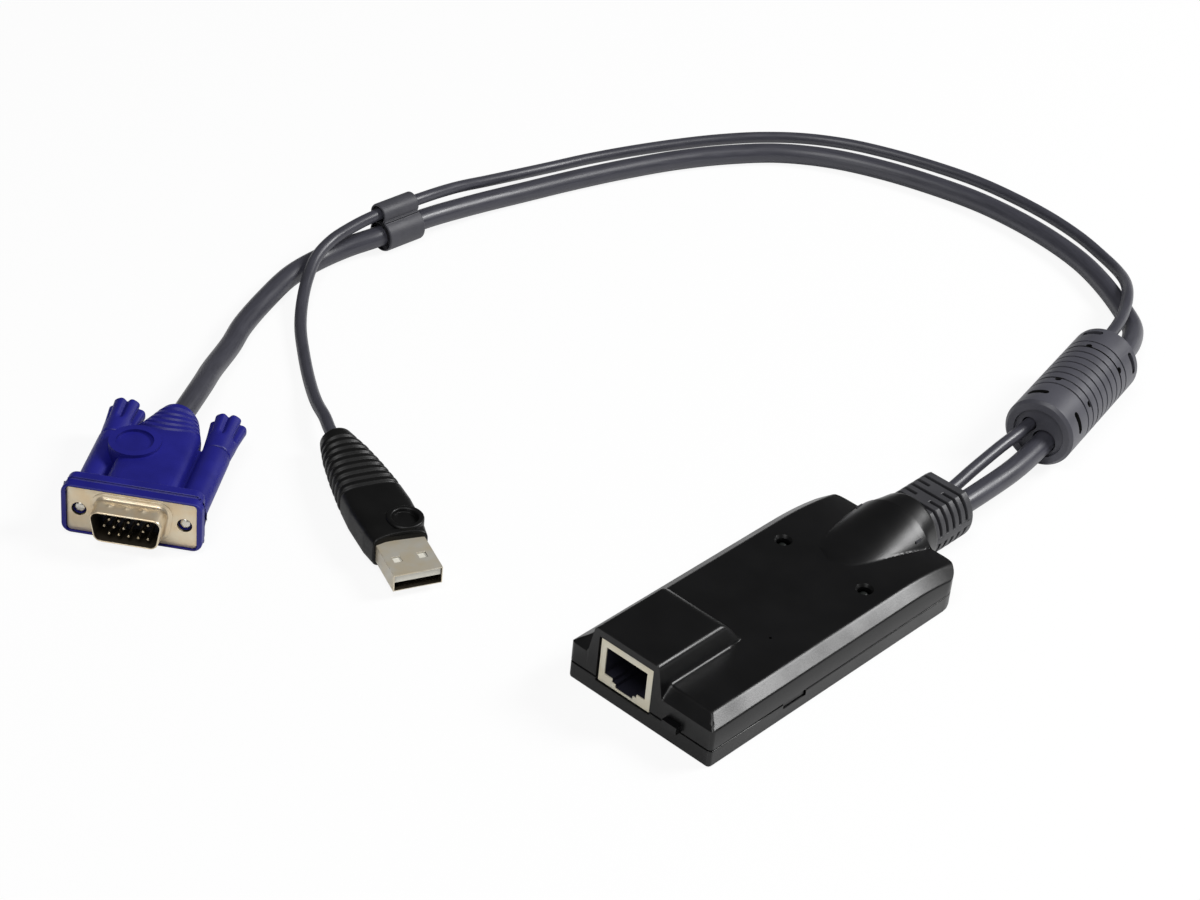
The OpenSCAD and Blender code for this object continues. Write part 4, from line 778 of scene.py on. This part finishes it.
def makePlugShell(s):
    wall = [(y, 0) for y in np.arange(s["wallStart"], -s["length"] + 0.5, -s["wallStep"])]
    profile = s["flare"] + wall + s["rim"]
    rings = np.stack([ringAt(wedgeOutline(s, inset), y) for y, inset in profile])
    # bumps rise exp(-(distance / spread)^2) out of the wide side
    x, y, z = np.moveaxis(rings, -1, 0)
    outer = (np.arange(len(rings)) < len(s["flare"]) + len(wall))[:, None] & (z > s["bumpsOver"])
    for place in s["bumps"]:
        distance = (x - place) ** 2 + (y - s["bumpAt"]) ** 2
        rings[..., 2] += np.where(outer, s["bumpRise"] * np.exp(-distance / s["bumpSpread"] ** 2), 0)
    rows, sides = rings.shape[:2]
    first = np.arange(sides)
    last = (rows - 1) * sides + first
    faces = gridFaces(rows, sides).tolist()
    faces += np.stack([last, np.roll(last, -1), np.roll(first, -1), first], 1).tolist()
    # plate with round edges, cut for the shell and for the screws
    slab = plugMesh("slab", [ringAt(boxOutline(s["plateWidth"] - 2 * edge, s["plateHeight"] - 2 * edge,
                                               s["plateRound"]), y) for y, edge in s["plateEdge"]])
    hole = boxOutline(2 * s["holeRadius"], 2 * s["holeRadius"], s["holeRadius"] - 0.01, 48)
    outlines = [wedgeOutline(s, s["cutInset"]), hole - (screwSide, 0), hole + (screwSide, 0)]
    slab = cutFrom(slab, [plugMesh("prism", [ringAt(outline, -1), ringAt(outline, 2)]) for outline in outlines])
    plate = (readRows(slab.vertices, "co") / mm, [tuple(face.vertices) for face in slab.polygons])
    return joinedPiece("plugShell", [(rings.reshape(-1, 3), faces), plate], "drawnNickel", "adapter",
                       "plated_sheet", "video_plug_shell", **videoPlace)


dressed["video_plug_shell"] = makePlugShell(plugShell)


# data plug's hood: share is the place along it, and across, high and square are its section there

dataHood = {
    "start": 11.8, "length": 46.2, "width": 15.8, "height": 8.6, "sides": 112,
    "share": (0, 0.02, 0.11, 0.31, 0.5, 0.675, 0.83, 0.94, 1),
    "across": (0.86, 0.87, 0.95, 1, 0.96, 0.865, 0.745, 0.6, 0.5),
    "high": (0.9, 0.93, 1, 1, 1, 0.98, 0.95, 0.9, 0.87),
    "square": (0.4, 0.4, 0.42, 0.45, 0.55, 0.68, 0.85, 1, 1),
    "grooveStart": 33, "grooves": 9, "pitch": 2.6, "depth": 0.6, "endRound": 0.9,
    "lipPlaces": (0, 0.04, 0.16, 0.4), "lipInset": (0.5, 0.3, 0.1, 0), "scoop": 1.3, "scoopRun": 3.5, "scoopZ": 3,
    # round boss: its centre, and its ring as (radius, height); inside it the hood is sunk by dish
    "boss": (3.16, 17.8), "dish": 0.6, "dishRadius": 3.5, "dishEdge": 0.5, "bossSides": 64,
    "bossProfile": ((4.5, 0), (4.5, 4.25), (4.42, 4.5), (4.25, 4.66), (4, 4.7), (3.5, 4.7), (3.3, 4.62),
                    (3.15, 4.4), (3.05, 3.6), (2.9, 3.3))}


def makeDataHood(s):
    # sections x = a sign(cos t) |cos t|^p, z = b sign(sin t) |sin t|^p: a rectangle for small p, an ellipse for 1
    body = s["length"] - s["endRound"]
    y = np.concatenate([s["lipPlaces"], np.linspace(0.7, body, 230),
                        s["length"] - s["endRound"] * (1 - np.sin(np.linspace(0.25, math.pi / 2, 8)))])
    share = y / s["length"]
    wide = np.interp(share, s["share"], s["across"]) * s["width"] / 2
    high = np.interp(share, s["share"], s["high"]) * s["height"] / 2
    power = np.interp(share, s["share"], s["square"])[:, None]
    # sunk by grooves depth ((1 + cos) / 2)^3, by the round at the end and by the lip at the front
    phase = (y + s["start"] - s["grooveStart"]) / s["pitch"]
    groove = s["depth"] * (0.5 + 0.5 * np.cos(2 * math.pi * phase)) ** 3
    groove *= (phase > -0.5) & (phase < s["grooves"] - 0.5)
    tail = np.clip((y - body) / s["endRound"], 0, 1)
    inset = groove + s["endRound"] * (1 - np.sqrt(1 - tail ** 2)) + np.interp(y, s["lipPlaces"], s["lipInset"])
    angle = np.linspace(0, 2 * math.pi, s["sides"], endpoint=False) + 0.01
    c, t = np.cos(angle), np.sin(angle)
    x = (wide - inset)[:, None] * np.sign(c) * np.abs(c) ** power
    z = (high - inset)[:, None] * np.sign(t) * np.abs(t) ** power
    # the upper front edge is drawn back by scoop (1 - (x / half width)^2), less further along and lower down
    along = np.broadcast_to(s["start"] + y[:, None], x.shape).copy()
    lean = np.clip(1 - (along - s["start"]) / s["scoopRun"], 0, 1) * (z > 0)
    along += s["scoop"] * lean * np.maximum(1 - (x / wide[:, None]) ** 2, 0) * np.clip(z / s["scoopZ"], 0, 1)
    fromBoss = np.hypot(x - s["boss"][0], along - s["boss"][1])
    z -= np.where(z > 0, s["dish"] * np.clip((s["dishRadius"] - fromBoss) / s["dishEdge"], 0, 1), 0)
    radius, height = np.array(s["bossProfile"]).T[..., None]
    turn = np.linspace(0, 2 * math.pi, s["bossSides"], endpoint=False)
    ring = np.stack([s["boss"][0] + radius * np.cos(turn), s["boss"][1] + radius * np.sin(turn),
                     np.broadcast_to(height, (len(height), s["bossSides"]))], -1)
    return joinedPiece("dataHood", [closedSkin(np.stack([x, along, z], -1)), closedSkin(ring)], "plugBlack",
                       "adapter", "housing", "data_plug_hood", **dataPlace)


dressed["data_plug_hood"] = makeDataHood(dataHood)
onBothScrews("rod", rodRings, rodShape, "turnedSteel", "steel_rod")


# painted shade: dark insides of the plug shells, of the ferrite cover's sunk marks and behind the video plate

def shadeWhere(piece, look, test, place, turn):
    # faces that test picks, from their centres in millimetres and their directions, take a second finish, a darker
    # one painted as shade
    faces = piece.data.polygons
    centres = inOwnFrame(readRows(faces, "center"), place, turn)
    normals = inOwnFrame(readRows(faces, "normal") * mm, turn=turn)
    piece.data.materials.append(finish[look])
    faces.foreach_set("material_index", test(centres.T, normals.T).astype(np.int32))


def shellInsideShade(centre, normal):
    # the inner walls of a plug's shell, which take painted shade
    return (normal[0] * centre[0] * 0.4 + normal[2] * centre[2] < -0.2) & (np.abs(normal[1]) < 0.5)


def sunkMarkShade(centre, normal):
    # the walls and floors of the rings, slots and holes that are sunk in the ferrite's round cover, painted black
    # as shade
    radius = np.hypot(centre[0], centre[2])
    outwards = (normal[0] * centre[0] + normal[2] * centre[2]) / np.maximum(radius, 0.001)
    sunk = (outwards < 0.6) | (radius < 8.95)
    return (np.abs(centre[1]) < 20.2) & (radius > 7.7) & (radius < 9.15) & sunk


def shadeBehindPlate(centre, normal):
    # the video hood's floor behind its metal plate, painted black as shade
    return (centre[1] > 0.4) & (centre[1] < 0.6) & (normal[1] < -0.9)


for node, look, test, place in (("video_plug_shell", "innerShade", shellInsideShade, videoPlace),
                                ("data_plug_shell", "innerShade", shellInsideShade, dataPlace),
                                ("ferrite_cover", "ferriteBlackAndShade", sunkMarkShade, ferritePlace),
                                ("video_plug_hood", "ferriteBlackAndShade", shadeBehindPlate, videoPlace)):
    shadeWhere(dressed[node], look, test, **place)
print("pieces dressed:", len(dressed))

# the pieces on the video lead, and then the two leads
videoEnd = [dressed[node] for node in ("video_plug_hood", "video_plug_shell", "left_knob", "right_knob",
                                       "left_rod", "right_rod", "ferrite_cover", "lead_clip", "cable_gland")]
videoEnd += [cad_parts[node] for node in ("ferrite_core", "video_plug_insulator", "video_plug_pins")]
makeCord("videoLead", videoRoute, 0.0056, "video_lead")
makeCord("dataLead", dataRoute, 0.0032, "data_lead")


# stage: a plain pale floor, a white surround and soft lamps as (place, target, size in metres, watts)

stage = {"floorHalf": 6.0, "floorGrey": 0.85, "floorWhite": 0.9, "worldLight": 0.1, "worldSeen": 1.0,
         "lamps": {"behind": ((0.5, 0.78, 0.83), (0, 0, 0), 0.42, 14),
                   "over": ((0.15, -0.5, 1.2), (-0.1, 0, 0), 0.6, 8),
                   "front": ((0.35, -1.2, 0.55), (-0.05, 0, 0), 0.5, 2.4)}}


def makeFloor(s):
    # plain pale floor, nearly white where the camera sees it
    half = s["floorHalf"]
    mesh = newMesh("floor", [(-half, -half, 0), (half, -half, 0), (half, half, 0), (-half, half, 0)],
                   [(0, 1, 2, 3)])
    material, tree, shader = newMaterial("paleFloor", (s["floorGrey"],) * 3, 0.9)
    glow = addNode(tree, "ShaderNodeEmission", Strength=1.0)
    blend = addNode(tree, "ShaderNodeMixShader")
    rays = addNode(tree, "ShaderNodeLightPath")
    share = addNode(tree, "ShaderNodeMath", operation="MULTIPLY")
    share.inputs[1].default_value = s["floorWhite"]
    for output, target in ((rays.outputs["Is Camera Ray"], share.inputs[0]),
                           (share.outputs[0], blend.inputs["Fac"]), (shader.outputs[0], blend.inputs[1]),
                           (glow.outputs[0], blend.inputs[2]),
                           (blend.outputs[0], tree.nodes["Material Output"].inputs["Surface"])):
        tree.links.new(output, target)
    mesh.materials.append(material)
    newObject("floor", mesh)


def makeWorld(s):
    # white for the camera, faint for the object
    world = bpy.data.worlds.new("surround")
    bpy.context.scene.world = world
    world.use_nodes = True
    tree = world.node_tree
    sky = tree.nodes["Background"]
    sky.inputs["Color"].default_value = (1, 1, 1, 1)
    rays = addNode(tree, "ShaderNodeLightPath")
    strength = addNode(tree, "ShaderNodeMapRange")
    strength.inputs["To Min"].default_value = s["worldLight"]
    strength.inputs["To Max"].default_value = s["worldSeen"]
    tree.links.new(rays.outputs["Is Camera Ray"], strength.inputs["Value"])
    tree.links.new(strength.outputs["Result"], sky.inputs["Strength"])


def makeLamps(lamps):
    for name, (place, target, size, power) in lamps.items():
        data = bpy.data.lights.new(name, "AREA")
        data.size, data.energy = size, power
        lamp = newObject(name, data)
        lamp.location = place
        lamp.rotation_euler = (Vector(target) - Vector(place)).to_track_quat("-Z", "Y").to_euler()


makeFloor(stage)
makeWorld(stage)
makeLamps(stage["lamps"])
bpy.context.scene.view_settings.view_transform = "Standard"
print("stage ready")
bpy.context.view_layer.update()
